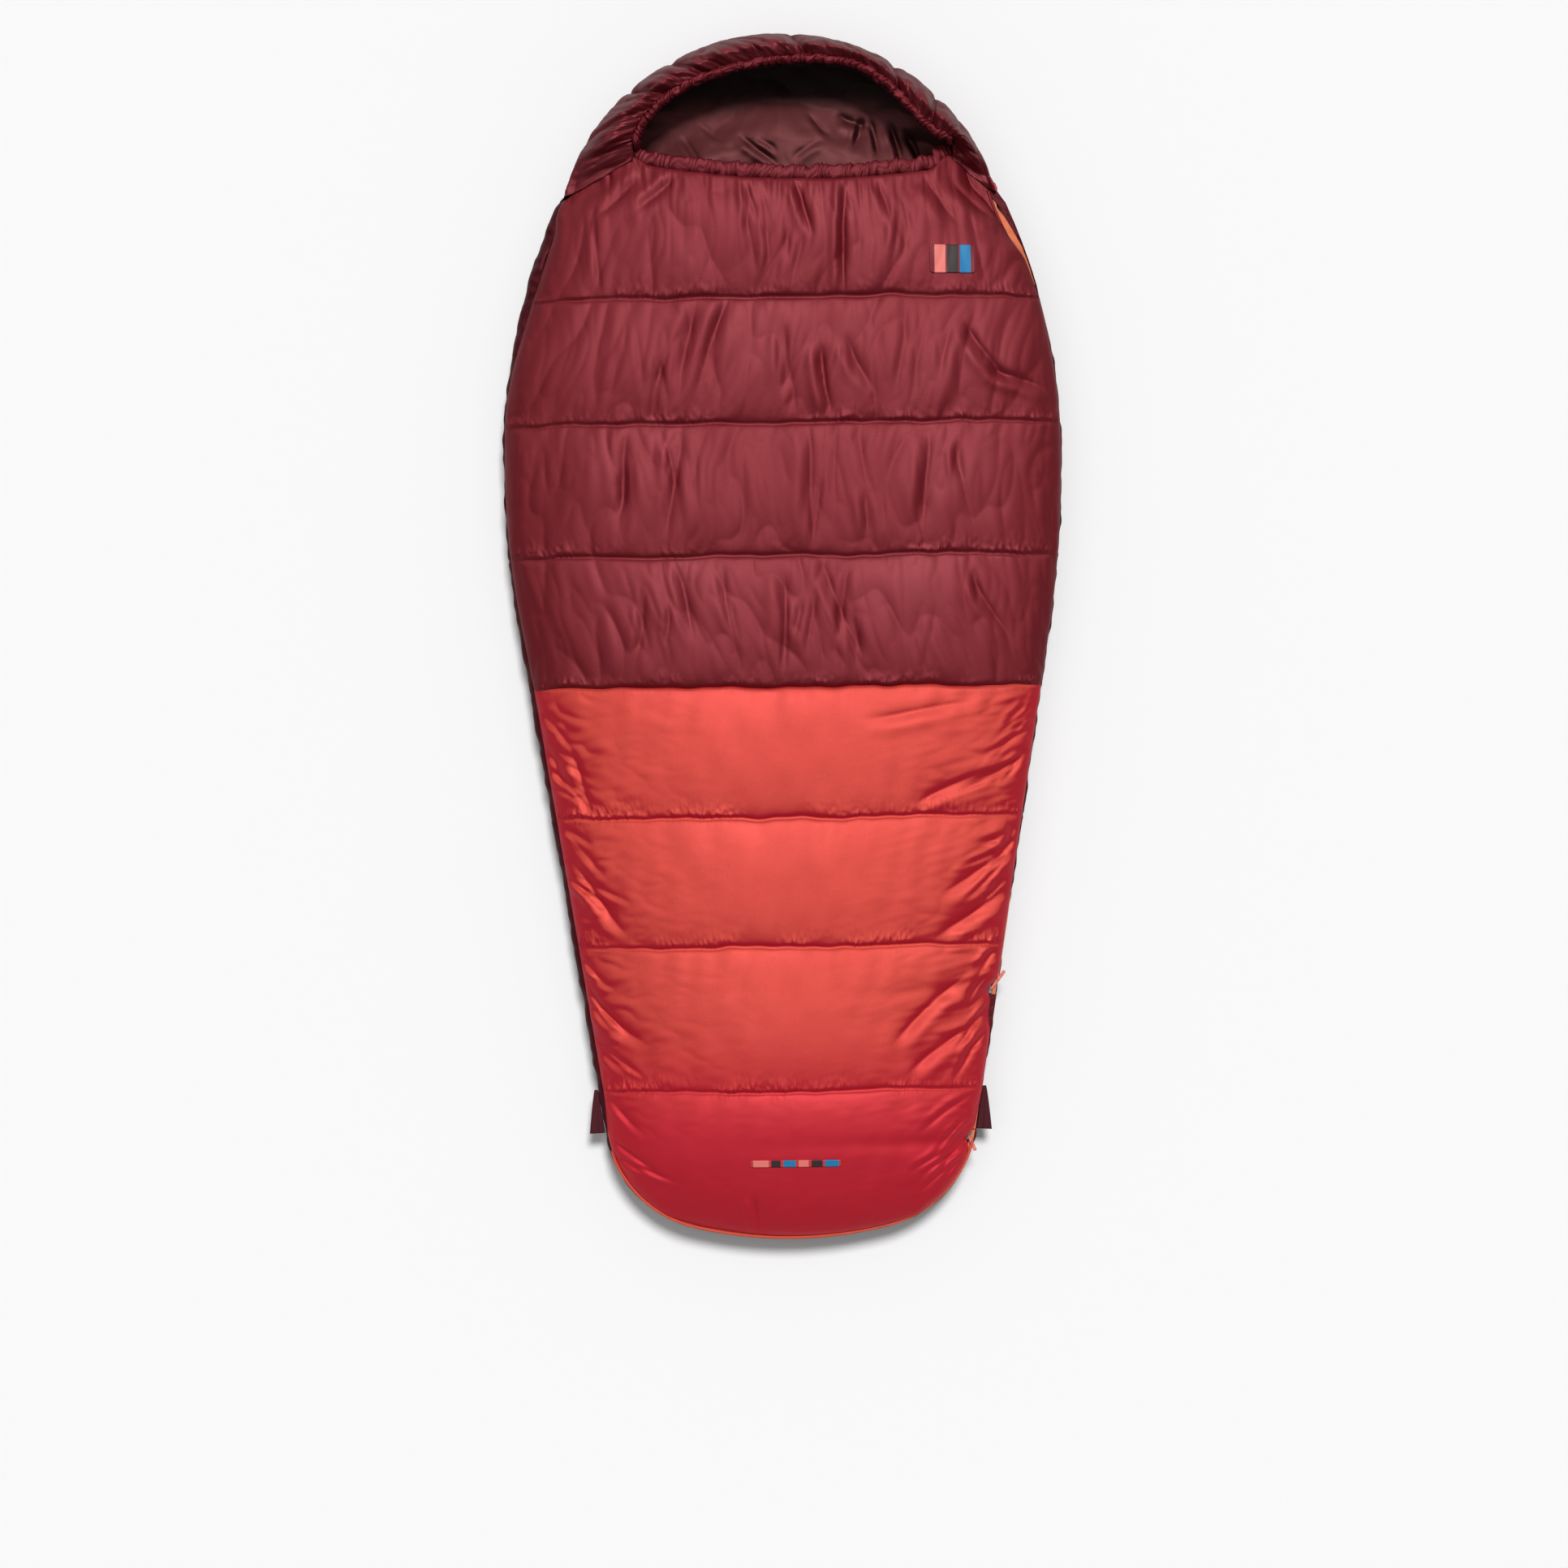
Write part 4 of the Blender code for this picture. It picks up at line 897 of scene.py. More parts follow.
def back_lip(end, inward, reach, low, high, count=14):
    """The fabric turned up and in over the outline, listed from its sewn edge down to the outline."""
    t = np.linspace(0, 1, count)[:, None]
    swell = 0.0016 * np.sin(math.pi * t)
    inset = reach * (1 - t) ** 1.3 - swell
    height = low + (high - low) * (1 - t) ** 0.75
    plan = np.array(end)[None] + np.array(inward)[None] * inset
    return np.concatenate([plan, height], axis=1)


def make_back():
    rows, sewn = back_rows(BACK_STEP)
    lines = []
    for x, y, share, inward in rows:
        distance = edge_distance(x, y)
        lift = 0.0030 * (1.0 - fullness(share)) * np.minimum(1.0, distance / 0.02)
        floor = np.stack([x, y, floor_side(distance) + lift], axis=1)
        level = y[-1]
        reach_left, high_left, high_right = 0.0015, HOOD_EDGE_Z, HOOD_EDGE_Z
        if level < TOP_END_Y:
            reach_left = left_inset(level)
            high_left, high_right = FIXED_EDGE_Z + 0.5 * reach_left, BACK_LIP_Z
        left = back_lip((x[0], y[0]), (-inward[0], inward[1]), reach_left, BACK_LIP_START_Z, high_left)
        right = back_lip((x[-1], y[-1]), inward, 0.0015, BACK_LIP_START_Z, high_right)
        lines.append(even_rows(np.concatenate([left, floor, right[::-1]]), BACK_COLUMNS))
    last = lines[-1]
    for rise_now, inset in ((0.0020, -0.0008), (0.0045, -0.0006), (0.0068, -0.0012)):
        ring = last.copy()
        ring[:, 1] += inset
        ring[:, 2] = np.maximum(ring[:, 2], BACK_SIDE_Z + rise_now)
        lines.append(ring)
    lines.append(lines[-1].copy())
    base = np.array(lines)
    base[0, :, 0] = 0.0
    free = free_but_sewn(base, sewn)
    free[0] = free[-5:] = 0.0
    x, y = base[..., 0], base[..., 1]
    near = np.exp(-rows_away(len(base), sewn) * BACK_STEP / 0.014)
    wall = smooth(base[..., 2], 0.004, 0.03)
    uneven = patches(x, y, 0.10, 0.05, 73)
    lift = 0.0009 * wave_noise(x, y, 0.03, 0.06, 40, seed=71) * free
    lip = smooth(base[..., 2], 0.044, 0.050) * smooth(left_inset(y), 0.004, 0.012) * (x < 0)
    lift += 0.0050 * lip * free * ridges(x, y + 0.3 * x, 0.05, 0.022, 50, 75)
    base[..., 2] += lift
    base[..., 0] += np.sign(x) * 0.0012 * wall * free * wave_noise(x, y, 0.20, 0.045, 50, seed=72)
    spare_x = 0.003 + near * 0.03 * uneven
    spare_y = 0.003 + wall * 0.02 * uneven
    rows_now = 4 * ((len(base) - 1) // 4) + 1
    base[:rows_now] = settle(base[:rows_now], free[:rows_now], spare_x[:rows_now], spare_y[:rows_now],
                             ripple((rows_now, BACK_COLUMNS), 0.0005, 74),
                             rounds=(120, 80, 12), hold=0.02, reach=0.006)
    base[..., 2] = np.maximum(base[..., 2], 0.0)
    return grid_object("back_panel", base[:-1], flip=True)


HOLLOW_DEPTH = 0.026
LINING_STEP, LINING_COLUMNS = 0.0034, 233
QUILT_LINING_STEP, QUILT_LINING_COLUMNS = 0.0062, 129

LINING_CREASES = (
    (-490, 6720, -20, 6300, 50, 62), (-270, 6680, -30, 6500, 42, 40), (1140, 6920, 990, 6520, 42, 60),
    (1260, 6900, 1320, 6400, 42, 60), (1510, 6840, 1660, 6250, 50, 70),
    (1690, 6760, 1960, 6250, 50, 70), (820, 7000, 1210, 6840, 60, 60),
    (-1290, 6700, -1000, 6300, 45, 45), (-1060, 6900, -710, 6640, 45, 35),
    (200, 6400, 550, 6680, 45, 30), (400, 7000, 730, 6680, 45, 30),
)


def make_back_lining():
    """The floor of the hollow: lining over the back's filling."""
    rows, sewn = back_rows(LINING_STEP)
    lines = []
    for x, y, share, _ in rows:
        keep = 1.0 - 0.004 / max(x[-1], 0.02)
        distance = edge_distance(x, y)
        up = rise(distance, 0.10)
        head = smooth(y, 0.66, 0.80)
        z = BACK_EDGE_Z + 0.0008 - up * (0.0005 + 0.007 * (1 - fullness(share)))
        hollow = smooth(y + 0.35 * np.abs(x), 0.665, 0.735) * rise(np.maximum(0.0, distance - 0.008), 0.05)
        z = z - HOLLOW_DEPTH * hollow
        lines.append(even_rows(np.stack([x * keep, y - 0.003 * head, z], axis=1), LINING_COLUMNS))
    base = np.array(lines)
    x, y = base[..., 0], base[..., 1]
    inside = np.minimum(1.0, edge_distance(x, y) / 0.03)
    free = free_but_sewn(base, [0, -1] + sewn[1:])
    lift = 0.0022 * ridges(x, y, 0.13, 0.10, 40, 81)
    lift += 0.0006 * wave_noise(x, y, 0.05, 0.05, 40, seed=82)
    for fold in placed(LINING_CREASES):
        lift += crease(x, y, *fold)
    base[..., 2] += lift * inside * free
    rows_now = 4 * ((len(base) - 1) // 4) + 1
    spare = 0.002 + 0.015 * patches(x, y, 0.08, 0.08, 83)[:rows_now]
    base[:rows_now] = settle(base[:rows_now], free[:rows_now], spare, spare,
                             ripple((rows_now, LINING_COLUMNS), 0.0005, 84),
                             rounds=(100, 60, 12), hold=0.02, reach=0.006)
    return grid_object("back_lining", base)


def lining_height(x, y, share):
    """Height of the quilt's inner face."""
    side = side_share(x)
    edge = 0.0492 * (1 - side) + QUILT_EDGE_LOW * side
    distance = edge_distance(x, y)
    up = rise(distance - 0.004 - left_inset(y) * (1 - side) - right_inset(y) * side)
    tube = 0.0085 * np.exp(-((distance - DRAFT_INSET) / 0.012) ** 2) * side * smooth(y, -0.50, -0.44)
    return edge + up * (QUILT_EDGE_LOW + CAVITY_RISE - edge + 0.008 * (1 - fullness(share))) - tube


def make_quilt_lining():
    rows, _ = row_plan(QUILT_LINING_STEP, hem_row, body_row, foot_row)
    points = np.array([even_rows(np.stack([x * 0.994, y, lining_height(x, y, share)], axis=1),
                                 QUILT_LINING_COLUMNS) for x, y, share in rows])
    x, y = points[..., 0], points[..., 1]
    inside = np.minimum(1.0, np.maximum(0.0, edge_distance(x, y) - 0.006) / 0.05)
    points[..., 2] -= inside * (0.0012 + 0.0012 * wave_noise(x, y, 0.05, 0.07, 40, seed=91))
    return grid_object("quilt_lining", points, flip=True)


# ---------------------------------------------------------------- zips

PLAN_STEP = 0.0015
COIL_Z, COIL_PITCH = 0.0504, 0.0016
TOOTH_LENGTH, TOOTH_WIDTH, TOOTH_HEIGHT, TOOTH_LEAN = 0.0021, 0.0010, 0.0019, 0.25
STITCH_PITCH = 0.0036
BACK_COIL_INSET, QUILT_COIL_INSET = 0.0075, 0.0116
ZIP_TOP_Y = 0.576
COVER_TOP_Y, COVER_LOW_Y, COVER_SINK = 0.626, 0.425, 0.0135
TAPE_TOP_Y, TAPE_LOW_Y = 0.599, 0.465
FOLD_CORNER = (48.0 - 9.1) / 66.9


def side_path(inset, top_y=ZIP_TOP_Y, low_y=LEG_END_Y, step=PLAN_STEP):
    """Plan points down the zipped side, at an even inset from the outline."""
    y = np.linspace(top_y, low_y, int((top_y - low_y) / step))
    return np.array([(half_width_at(level, inset), level) for level in y])


def foot_path(inset, left_end=FOLD_CORNER, right_start=0.0):
    """Plan points round the foot from the zipped side's corner to the other."""
    turn = math.pi / 2 - END_HALF_ANGLE - LEG_TAPER
    count = int(CORNER_R * turn / PLAN_STEP)
    right = [foot_corner(v, inset) for v in np.linspace(right_start, 1.0, count)]
    left = [foot_corner(v, inset) for v in np.linspace(1.0, left_end, int(count * (1.0 - left_end)))]
    sweep = np.linspace(END_HALF_ANGLE, -END_HALF_ANGLE, int(2 * END_HALF_ANGLE * END_R / PLAN_STEP))[1:-1]
    radius = END_R - inset
    end = [(radius * math.sin(t), END_Y - radius * math.cos(t)) for t in sweep]
    return np.array(right + end + [(-x, y) for x, y in left])


def even_path(path, pitch):
    """Points spaced evenly along a path, with their directions."""
    gone = walk(path)
    at = np.arange(pitch / 2, gone[-1], pitch)
    points = np.stack([np.interp(at, gone, path[:, k]) for k in range(path.shape[1])], axis=1)
    return points, unit(np.gradient(points, axis=0))


def beads(name, places, ahead, length, width, height, sides=6):
    """Small rounded rods, one lying along each direction: zip teeth or stitches."""
    side, up = across_and_up(ahead)
    rings = ((-0.5, 0.35), (-0.32, 1.0), (0.32, 1.0), (0.5, 0.35))
    turn = circle(sides)
    verts = [places[:, None] + ahead[:, None] * share * length
             + side[:, None] * (np.cos(turn) * size * width / 2)[None, :, None]
             + up[:, None] * (np.sin(turn) * size * height / 2)[None, :, None] for share, size in rings]
    each = sides * len(rings)
    one = ring_faces(len(rings), sides)
    faces = [tuple(first + corner for corner in face) for first in range(0, each * len(places), each)
             for face in one]
    return mesh_object(name, np.stack(verts, axis=1).reshape(-1, 3).tolist(), faces)


def make_coil(name, plan, toward):
    """Zip teeth along a plan path: short rods across it, leaning towards their own tape."""
    points, ahead = even_path(plan, COIL_PITCH)
    across = np.stack([-ahead[:, 1], ahead[:, 0], np.full(len(ahead), 0.05 * toward)], axis=1)
    across += TOOTH_LEAN * toward * at_height(ahead, 0.0)
    return beads(name, at_height(points, COIL_Z), unit(across), TOOTH_LENGTH, TOOTH_WIDTH, TOOTH_HEIGHT)


def tube(name, path, radius_side, radius_up, sides=12, shape=1.0):
    """A closed rod along a path; shape scales it station by station."""
    side, up = across_and_up(unit(np.gradient(path, axis=0)))
    turn = circle(sides)
    size = np.broadcast_to(shape, len(path))[:, None, None]
    return loft(name, path[:, None] + side[:, None] * (np.cos(turn) * radius_side)[None, :, None] * size
                + up[:, None] * (np.sin(turn) * radius_up)[None, :, None] * size)


def ribbon(name, plan_outer, plan_inner, low, high, waves=0.0, seed=0):
    """A closed flat strip between two plan paths; low and high are its heights."""
    at = np.arange(len(plan_outer))
    lines = []
    for share in np.linspace(0, 1, 7):
        plan = plan_outer * (1 - share) + plan_inner * share
        level = waves * wave_noise(at * PLAN_STEP, at * 0 + share * 0.01, 0.018, 0.01, 16, seed)
        lines.append(np.concatenate([plan, level[:, None]], axis=1))
    top = np.stack(lines, axis=1)
    bottom = top[:, ::-1].copy()
    top[..., 2] += high
    bottom[..., 2] += low
    item = loft(name, np.concatenate([top, bottom], axis=1))
    item.data.set_sharp_from_angle(angle=math.radians(50))
    return item


def inset_side(top_y, low_y, insets):
    """Plan points down the zipped side with an inset that changes with y."""
    y = np.linspace(top_y, low_y, int((top_y - low_y) / PLAN_STEP))
    return np.array([(half_width_at(level) - insets(level), level) for level in y])


def cover_width(y):
    """How far the back's fabric reaches in over the zip at the shoulder."""
    return 0.0008 + 0.0125 * smooth(y, 0.50, 0.60)


def side_strip(name, span, outer, inner, low, high, waves=0.0, seed=0, low_sinks=1.0):
    """A strip down the zipped side between two insets, sinking under the hood at its upper end."""
    outer, inner = inset_side(*span, outer), inset_side(*span, inner)
    sink = COVER_SINK * smooth(outer[:, 1:], 0.590, COVER_TOP_Y)
    return ribbon(name, outer, inner, low - low_sinks * sink, high - sink, waves, seed)


def cover_start(y):
    """1 at the cover's lower end, 0 further up."""
    return 1 - smooth(y, COVER_LOW_Y, 0.47)


def tape_start(y):
    """Inset of the shoulder tape's outer edge, with a slot where the top pull stands up."""
    return cover_width(y) + 0.0004 + 0.0030 * math.exp(-((y - 0.566) / 0.006) ** 2)


def make_shoulder_zip(finishes):
    """The back's fabric turned over the zip at the shoulder, and the orange tape beside it."""
    whole = (COVER_TOP_Y, COVER_LOW_Y)
    strips = (
        side_strip("shoulder_zip_cover", whole, lambda y: 0.0030 * cover_start(y) - 0.0006, cover_width,
                   0.0586, 0.0603, 0.0006, 51),
        side_strip("shoulder_cover_wall", whole, lambda y: 0.0040 * cover_start(y) - 0.0006,
                   lambda y: 0.0040 * cover_start(y) + 0.0006, 0.0462, 0.0590, low_sinks=0.1),
        side_strip("leg_zip_cover", (-0.478, -0.527), lambda y: -0.0006, lambda y: 0.0080,
                   0.0570, 0.0582, 0.0006, 53),
    )
    for strip in strips:
        dress(strip, "back", finishes["wine_back"])
    tape = ribbon("shoulder_tape", inset_side(TAPE_TOP_Y, TAPE_LOW_Y, tape_start),
                  inset_side(TAPE_TOP_Y, TAPE_LOW_Y, lambda y: right_inset(y) + 0.0090),
                  0.0574, 0.0583, 0.0008, 52)
    dress(tape, "quilt", finishes["orange_tape"])


def edged(name, path, radius_side, radius_up, body, finish, shape=1.0):
    dress(tube(name, path, radius_side, radius_up, shape=shape), body, finish)


def make_edges(points, finishes):
    """The quilt's rolled edge, the orange piping round the foot and the tape edge on the leg."""
    edge = np.concatenate([points[2:, -1], points[-1, -2::-1], points[-2:-41:-1, 0]])
    inward = np.array([0.0, -0.10, 0.0]) - edge
    inward[:, 2] = 0
    path = edge + unit(inward) * 0.0018 + (0.0, 0.0, -0.0016)
    cut = int(np.argmax(path[:, 1] < SEAMS[COLOUR_SEAM]))
    edged("quilt_edge_upper", path[:cut + 1], 0.0022, 0.0022, "quilt", finishes["bordeaux"])
    edged("quilt_edge_lower", path[cut:], 0.0022, 0.0022, "fold", finishes["coral_red"])
    piping = at_height(foot_path(0.0020, left_end=0.12, right_start=0.06), 0.0592)[::2]
    shape = np.minimum(1.0, 12.0 * np.sin(np.linspace(0.01, math.pi - 0.01, len(piping)))) ** 0.6
    edged("foot_piping", piping, 0.0019, 0.0017, "fold", finishes["piping"], shape)
    leg = at_height(side_path(0.0012, -0.335, -0.462), 0.0588)[::2]
    shape = np.sin(np.linspace(0.02, math.pi - 0.02, len(leg))) ** 0.4
    edged("leg_tape_edge", leg, 0.0014, 0.0011, "quilt", finishes["orange_tape"], shape)


def repaint(node_name, finish):
    """Give a CAD node that stays in view its finish."""
    materials = frame["nodes"][node_name].data.materials
    materials.clear()
    materials.append(finish)


def make_zips(finishes):
    for zip_name, plan in (("side_zip", side_path), ("foot_zip", foot_path)):
        for part, inset, toward in (("back", BACK_COIL_INSET, 1.0), ("quilt", QUILT_COIL_INSET, -1.0)):
            coil = make_coil(f"{zip_name}_teeth_{part}", plan(inset), toward)
            dress(coil, part, finishes["wine_coil"], (f"{zip_name}_coil_{part}",))
            repaint(f"{zip_name}_tape_{part}", finishes["orange_tape"])


def thread(name, lines, shift, length, thick, body, finish, slot_name):
    """Stitches along rows of points."""
    places, directions = zip(*[even_path(line, STITCH_PITCH) for line in lines])
    item = beads(name, np.concatenate(places) + shift, np.concatenate(directions), length, thick, thick)
    dress(item, body, finish)


def make_stitches(points, sewn, hood_seams, finishes):
    """Rows of thread along the quilting lines."""
    for name, rows, finish, slot_name in (
            ("stitches_upper", sewn[1:COLOUR_SEAM + 2], "thread_dark", "bordeaux"),
            ("stitches_lower", sewn[COLOUR_SEAM + 2:], "thread_red", "coral_red")):
        thread(name, [points[row, 3:-3] for row in rows], (0.0, -0.0006, 0.0003), 0.0027, 0.0008,
               "fold", finishes[finish], slot_name)
    thread("stitches_hood", hood_seams, (0.0, 0.0, 0.0004), 0.0028, 0.0010,
           "back", finishes["thread_dark"], "bordeaux")


# ---------------------------------------------------------------- pulls, loops, patch and label

EYE_STEPS, EYE_SIDES, EYE_RADIUS = 24, 8, 0.0013
UP = np.array([0.0, 0.0, 1.0])


def pull_tab(name, body, heading, length, width, thick, ribs, finish, neck_end=0.008):
    """A moulded pull: an eye round its bar, a neck, and a rounded blade with grip ribs."""
    pivot = np.array(next(j for j in frame["joints"] if j["name"] == body + "_flip")["pos_m"], float)
    along = np.linspace(0, 1, 46) * length
    neck = 0.0017
    body_width = neck + (width / 2 - neck) * smooth(along, neck_end - 0.006, neck_end)
    tip = np.sqrt(np.maximum(0.0, 1.0 - np.maximum(0.0, (along - length + width / 2) / (width / 2)) ** 2))
    half = np.maximum(body_width * tip, 0.0003)
    grip = 1.0 + 0.16 * ribs * np.sin(along / 0.0011) * smooth(along, 0.35 * length, 0.45 * length)
    flat = thick / 2 * grip * np.maximum(tip, 0.2)
    ahead = np.array([math.cos(heading), math.sin(heading), 0.0])
    side = np.array([-ahead[1], ahead[0], 0.0])
    square_x, square_z = [np.sign(f(circle(20))) * np.abs(f(circle(20))) ** 0.7 for f in (np.cos, np.sin)]
    blade = (pivot + ahead * 0.0012 + ahead * along[:, None, None]
             + side * (half[:, None] * square_x)[..., None] + UP * (flat[:, None] * square_z)[..., None])
    verts, faces = blade.reshape(-1, 3).tolist(), ring_faces(*blade.shape[:2])
    first = len(verts)
    for i, turn in enumerate(circle(EYE_STEPS)):
        out = ahead * math.cos(turn) + UP * math.sin(turn)
        for k, small in enumerate(circle(EYE_SIDES)):
            rod = out * 0.35 * math.cos(small) + side * 1.1 * math.sin(small)
            verts.append(tuple(pivot + out * EYE_RADIUS + rod * 0.001))
            a, c = first + i * EYE_SIDES, first + (i + 1) % EYE_STEPS * EYE_SIDES
            other = (k + 1) % EYE_SIDES
            faces.append((a + k, a + other, c + other, c + k))
    dress(mesh_object(name, verts, faces), body, finish, (body,))


LOOP_ROWS, LOOP_COLUMNS = 34, 15
LOOP_HEAD_REACH, LOOP_FOOT_REACH = 0.0046, 0.0208


def hang_loop(name, node_name, sign, finish):
    """Folded webbing sewn along the side seam: two soft layers that open towards the foot."""
    low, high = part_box(node_name)
    v = np.linspace(0, 1, LOOP_ROWS)[:, None]
    u = np.linspace(0, 1, LOOP_COLUMNS)[None]
    y = high[1] + (low[1] - high[1]) * v - 0.0012 * u * v
    x = half_width(y) + 0.0009 + (LOOP_HEAD_REACH + (LOOP_FOOT_REACH - LOOP_HEAD_REACH) * v ** 0.9) * u
    middle = (low[2] + high[2]) / 2
    folds = 0.0011 * np.sin(9.0 * u + 1.3 * v + sign) * v * np.sin(math.pi * np.minimum(1.0, u * 1.2))
    gap = 0.0009 + 0.0011 * v * np.sin(math.pi * u) ** 0.7
    item = two_layers(name, np.stack([sign * x, y, middle + folds + gap], axis=-1),
                      np.stack([sign * x, y, middle + 0.6 * folds - gap], axis=-1))
    bm = bmesh.new()
    bm.from_mesh(item.data)
    bmesh.ops.recalc_face_normals(bm, faces=bm.faces)
    bm.to_mesh(item.data)
    bm.free()
    item.data.shade_smooth()
    dress(item, node_name, finish, (node_name,))


BADGE_LIFT, BADGE_THICK, BADGE_CELL, BADGE_RIDGE = 0.0007, 0.0007, 0.0015, 0.0004


def draped(name, node_name, under, finish, corner=0.004):
    """A rounded thin patch that lies on the cloth beneath it."""
    low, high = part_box(node_name)
    bm = bmesh.new()
    bm.from_mesh(under.data)
    tree = BVHTree.FromBMesh(bm)
    bm.free()
    half_x, half_y = (high[0] - low[0]) / 2, (high[1] - low[1]) / 2
    columns, rows = int(2 * half_x / BADGE_CELL) + 1, int(2 * half_y / BADGE_CELL) + 1
    top, base = np.zeros((rows, columns, 3)), np.zeros((rows, columns, 3))
    for r in range(rows):
        for c in range(columns):
            px, py = -1 + 2 * c / (columns - 1), -1 + 2 * r / (rows - 1)
            x, y = px * half_x, py * half_y
            over_x, over_y = max(0.0, abs(x) - half_x + corner), max(0.0, abs(y) - half_y + corner)
            far = math.hypot(over_x, over_y)
            if far > corner:
                x -= math.copysign(over_x * (1 - corner / far), x)
                y -= math.copysign(over_y * (1 - corner / far), y)
            x, y = (low[0] + high[0]) / 2 + x, (low[1] + high[1]) / 2 + y
            cloth = tree.ray_cast(Vector((x, y, 1.0)), Vector((0, 0, -1)))[0].z
            ridge = BADGE_RIDGE if max(abs(px), abs(py)) > 0.93 else 0.0
            top[r, c] = (x, y, cloth + (BADGE_LIFT + BADGE_THICK) + ridge)
            base[r, c] = (x, y, cloth + BADGE_LIFT)
    dress(two_layers(name, top, base), "quilt", finish, (node_name,))


def make_draft_tube(finishes):
    path = at_height(side_path(DRAFT_INSET, 0.545, -0.470, 0.004), DRAFT_Z)
    item = ruched("zip_draft_padding", path, DRAFT_HALF_WIDTH, DRAFT_HALF_HEIGHT, 0.030, 0.12, seed=55,
                  around=24)
    dress(item, "quilt", finishes["wine_liner"], ("zip_draft_tube",))


# ---------------------------------------------------------------- finishes

def node(tree, kind, inputs=None, **settings):
    made = tree.nodes.new(kind)
    for key, value in settings.items():
        setattr(made, key, value)
    for key, value in (inputs or {}).items():
        if isinstance(value, bpy.types.NodeSocket):
            tree.links.new(value, made.inputs[key])
        else:
            made.inputs[key].default_value = value
    return made


def noise(tree, vector, scale, detail):
    inputs = {"Vector": vector, "Scale": scale, "Detail": detail}
    return node(tree, "ShaderNodeTexNoise", inputs).outputs["Fac"]


def calculated(tree, operation, *values):
    return node(tree, "ShaderNodeMath", dict(enumerate(values)), operation=operation).outputs[0]


def ranged(tree, value, low, high, to=(0.0, 1.0), turn="LINEAR"):
    """A value's share of the way from low to high, spread over another range."""
    inputs = {"Value": value, "From Min": low, "From Max": high, "To Min": to[0], "To Max": to[1]}
    return node(tree, "ShaderNodeMapRange", inputs, interpolation_type=turn).outputs[0]


def mixed(tree, share, first, second):
    """A blend of two colours, each given as numbers or as a node's output."""
    colours = [each if isinstance(each, bpy.types.NodeSocket) else (*each, 1.0) for each in (first, second)]
    return node(tree, "ShaderNodeMix", {0: share, 6: colours[0], 7: colours[1]}, data_type="RGBA").outputs[2]


def new_finish(name):
    """A material, its node tree, its shader and the node that gives places on the piece."""
    made = bpy.data.materials.new(name)
    made.use_nodes = True
    tree = made.node_tree
    return made, tree, tree.nodes["Principled BSDF"], node(tree, "ShaderNodeTexCoord")


def join(tree, shader, **sources):
    for key, source in sources.items():
        tree.links.new(source, shader.inputs[key.replace("_", " ")])


def relief(tree, height, strength, distance, **more):
    return node(tree, "ShaderNodeBump", {"Height": height, "Strength": strength, "Distance": distance,
                                         **more}).outputs[0]


def cloth_finish(name, colour, dark, steep=None, end=None, roughness=0.56, satin=0.35, shine=0.35,
                 thread=1500.0, bump=0.12):
    """Shiny woven polyester: uneven threads both ways, slow changes of colour and gloss.

    Painted shade: colour and dark where the cloth lies flat or leans to the head, the darker steep colour on
    its other folds, as if lit from the head end. Between two distances along the bag it changes to the end
    colour, if given.
    """
    made, tree, shader, texture = new_finish(name)
    place = texture.outputs["Object"]
    threads = []
    for stretch in ((thread, thread * 0.06, thread * 0.3), (thread * 0.06, thread, thread * 0.3)):
        scaled = node(tree, "ShaderNodeMapping", {"Vector": place, "Scale": stretch})
        threads.append(noise(tree, scaled.outputs[0], 1.0, 2.0))
    weave = calculated(tree, "ADD", *threads)
    slow = noise(tree, place, 7.0, 4.0)
    shade = mixed(tree, ranged(tree, calculated(tree, "ADD", weave, slow), 1.05, 1.95), dark, colour)
    # Painted shade by slope: tilted and foot-facing normals blend to the darker steep colour, head-facing
    # ones stay light
    if steep:
        faces = node(tree, "ShaderNodeSeparateXYZ", {"Vector": texture.outputs["Normal"]})
        level = calculated(tree, "ABSOLUTE", faces.outputs["Z"])
        flatness = calculated(tree, "MULTIPLY_ADD", faces.outputs["Y"], 0.35, level)
        shade = mixed(tree, ranged(tree, flatness, 0.80, 0.985, turn="SMOOTHSTEP"), steep, shade)
    if end:
        end_colour, begins, full = end
        y = node(tree, "ShaderNodeSeparateXYZ", {"Vector": place}).outputs["Y"]
        shade = mixed(tree, ranged(tree, y, begins, full, turn="SMOOTHSTEP"), shade, end_colour)
    gloss = ranged(tree, slow, 0.3, 0.7, (roughness - 0.04, roughness + 0.05))
    join(tree, shader, Base_Color=shade, Roughness=gloss, Normal=relief(tree, weave, bump, 0.0003))
    shader.inputs["Metallic"].default_value = satin
    shader.inputs["Specular IOR Level"].default_value = shine
    return made


def hard_finish(name, colour, dark, roughness=0.4, metallic=0.0, grain=900.0):
    """Moulded plastic, thread or metal: fine grain, with slight wear in colour and gloss."""
    made, tree, shader, texture = new_finish(name)
    place = texture.outputs["Object"]
    slow = noise(tree, place, grain / 12, 3.0)
    shade = mixed(tree, ranged(tree, slow, 0.35, 0.65), dark, colour)
    gloss = ranged(tree, slow, 0.3, 0.7, (roughness - 0.06, roughness + 0.08))
    join(tree, shader, Base_Color=shade, Roughness=gloss,
         Normal=relief(tree, noise(tree, place, grain, 3.0), 0.1, 0.0002))
    shader.inputs["Metallic"].default_value = metallic
    return made


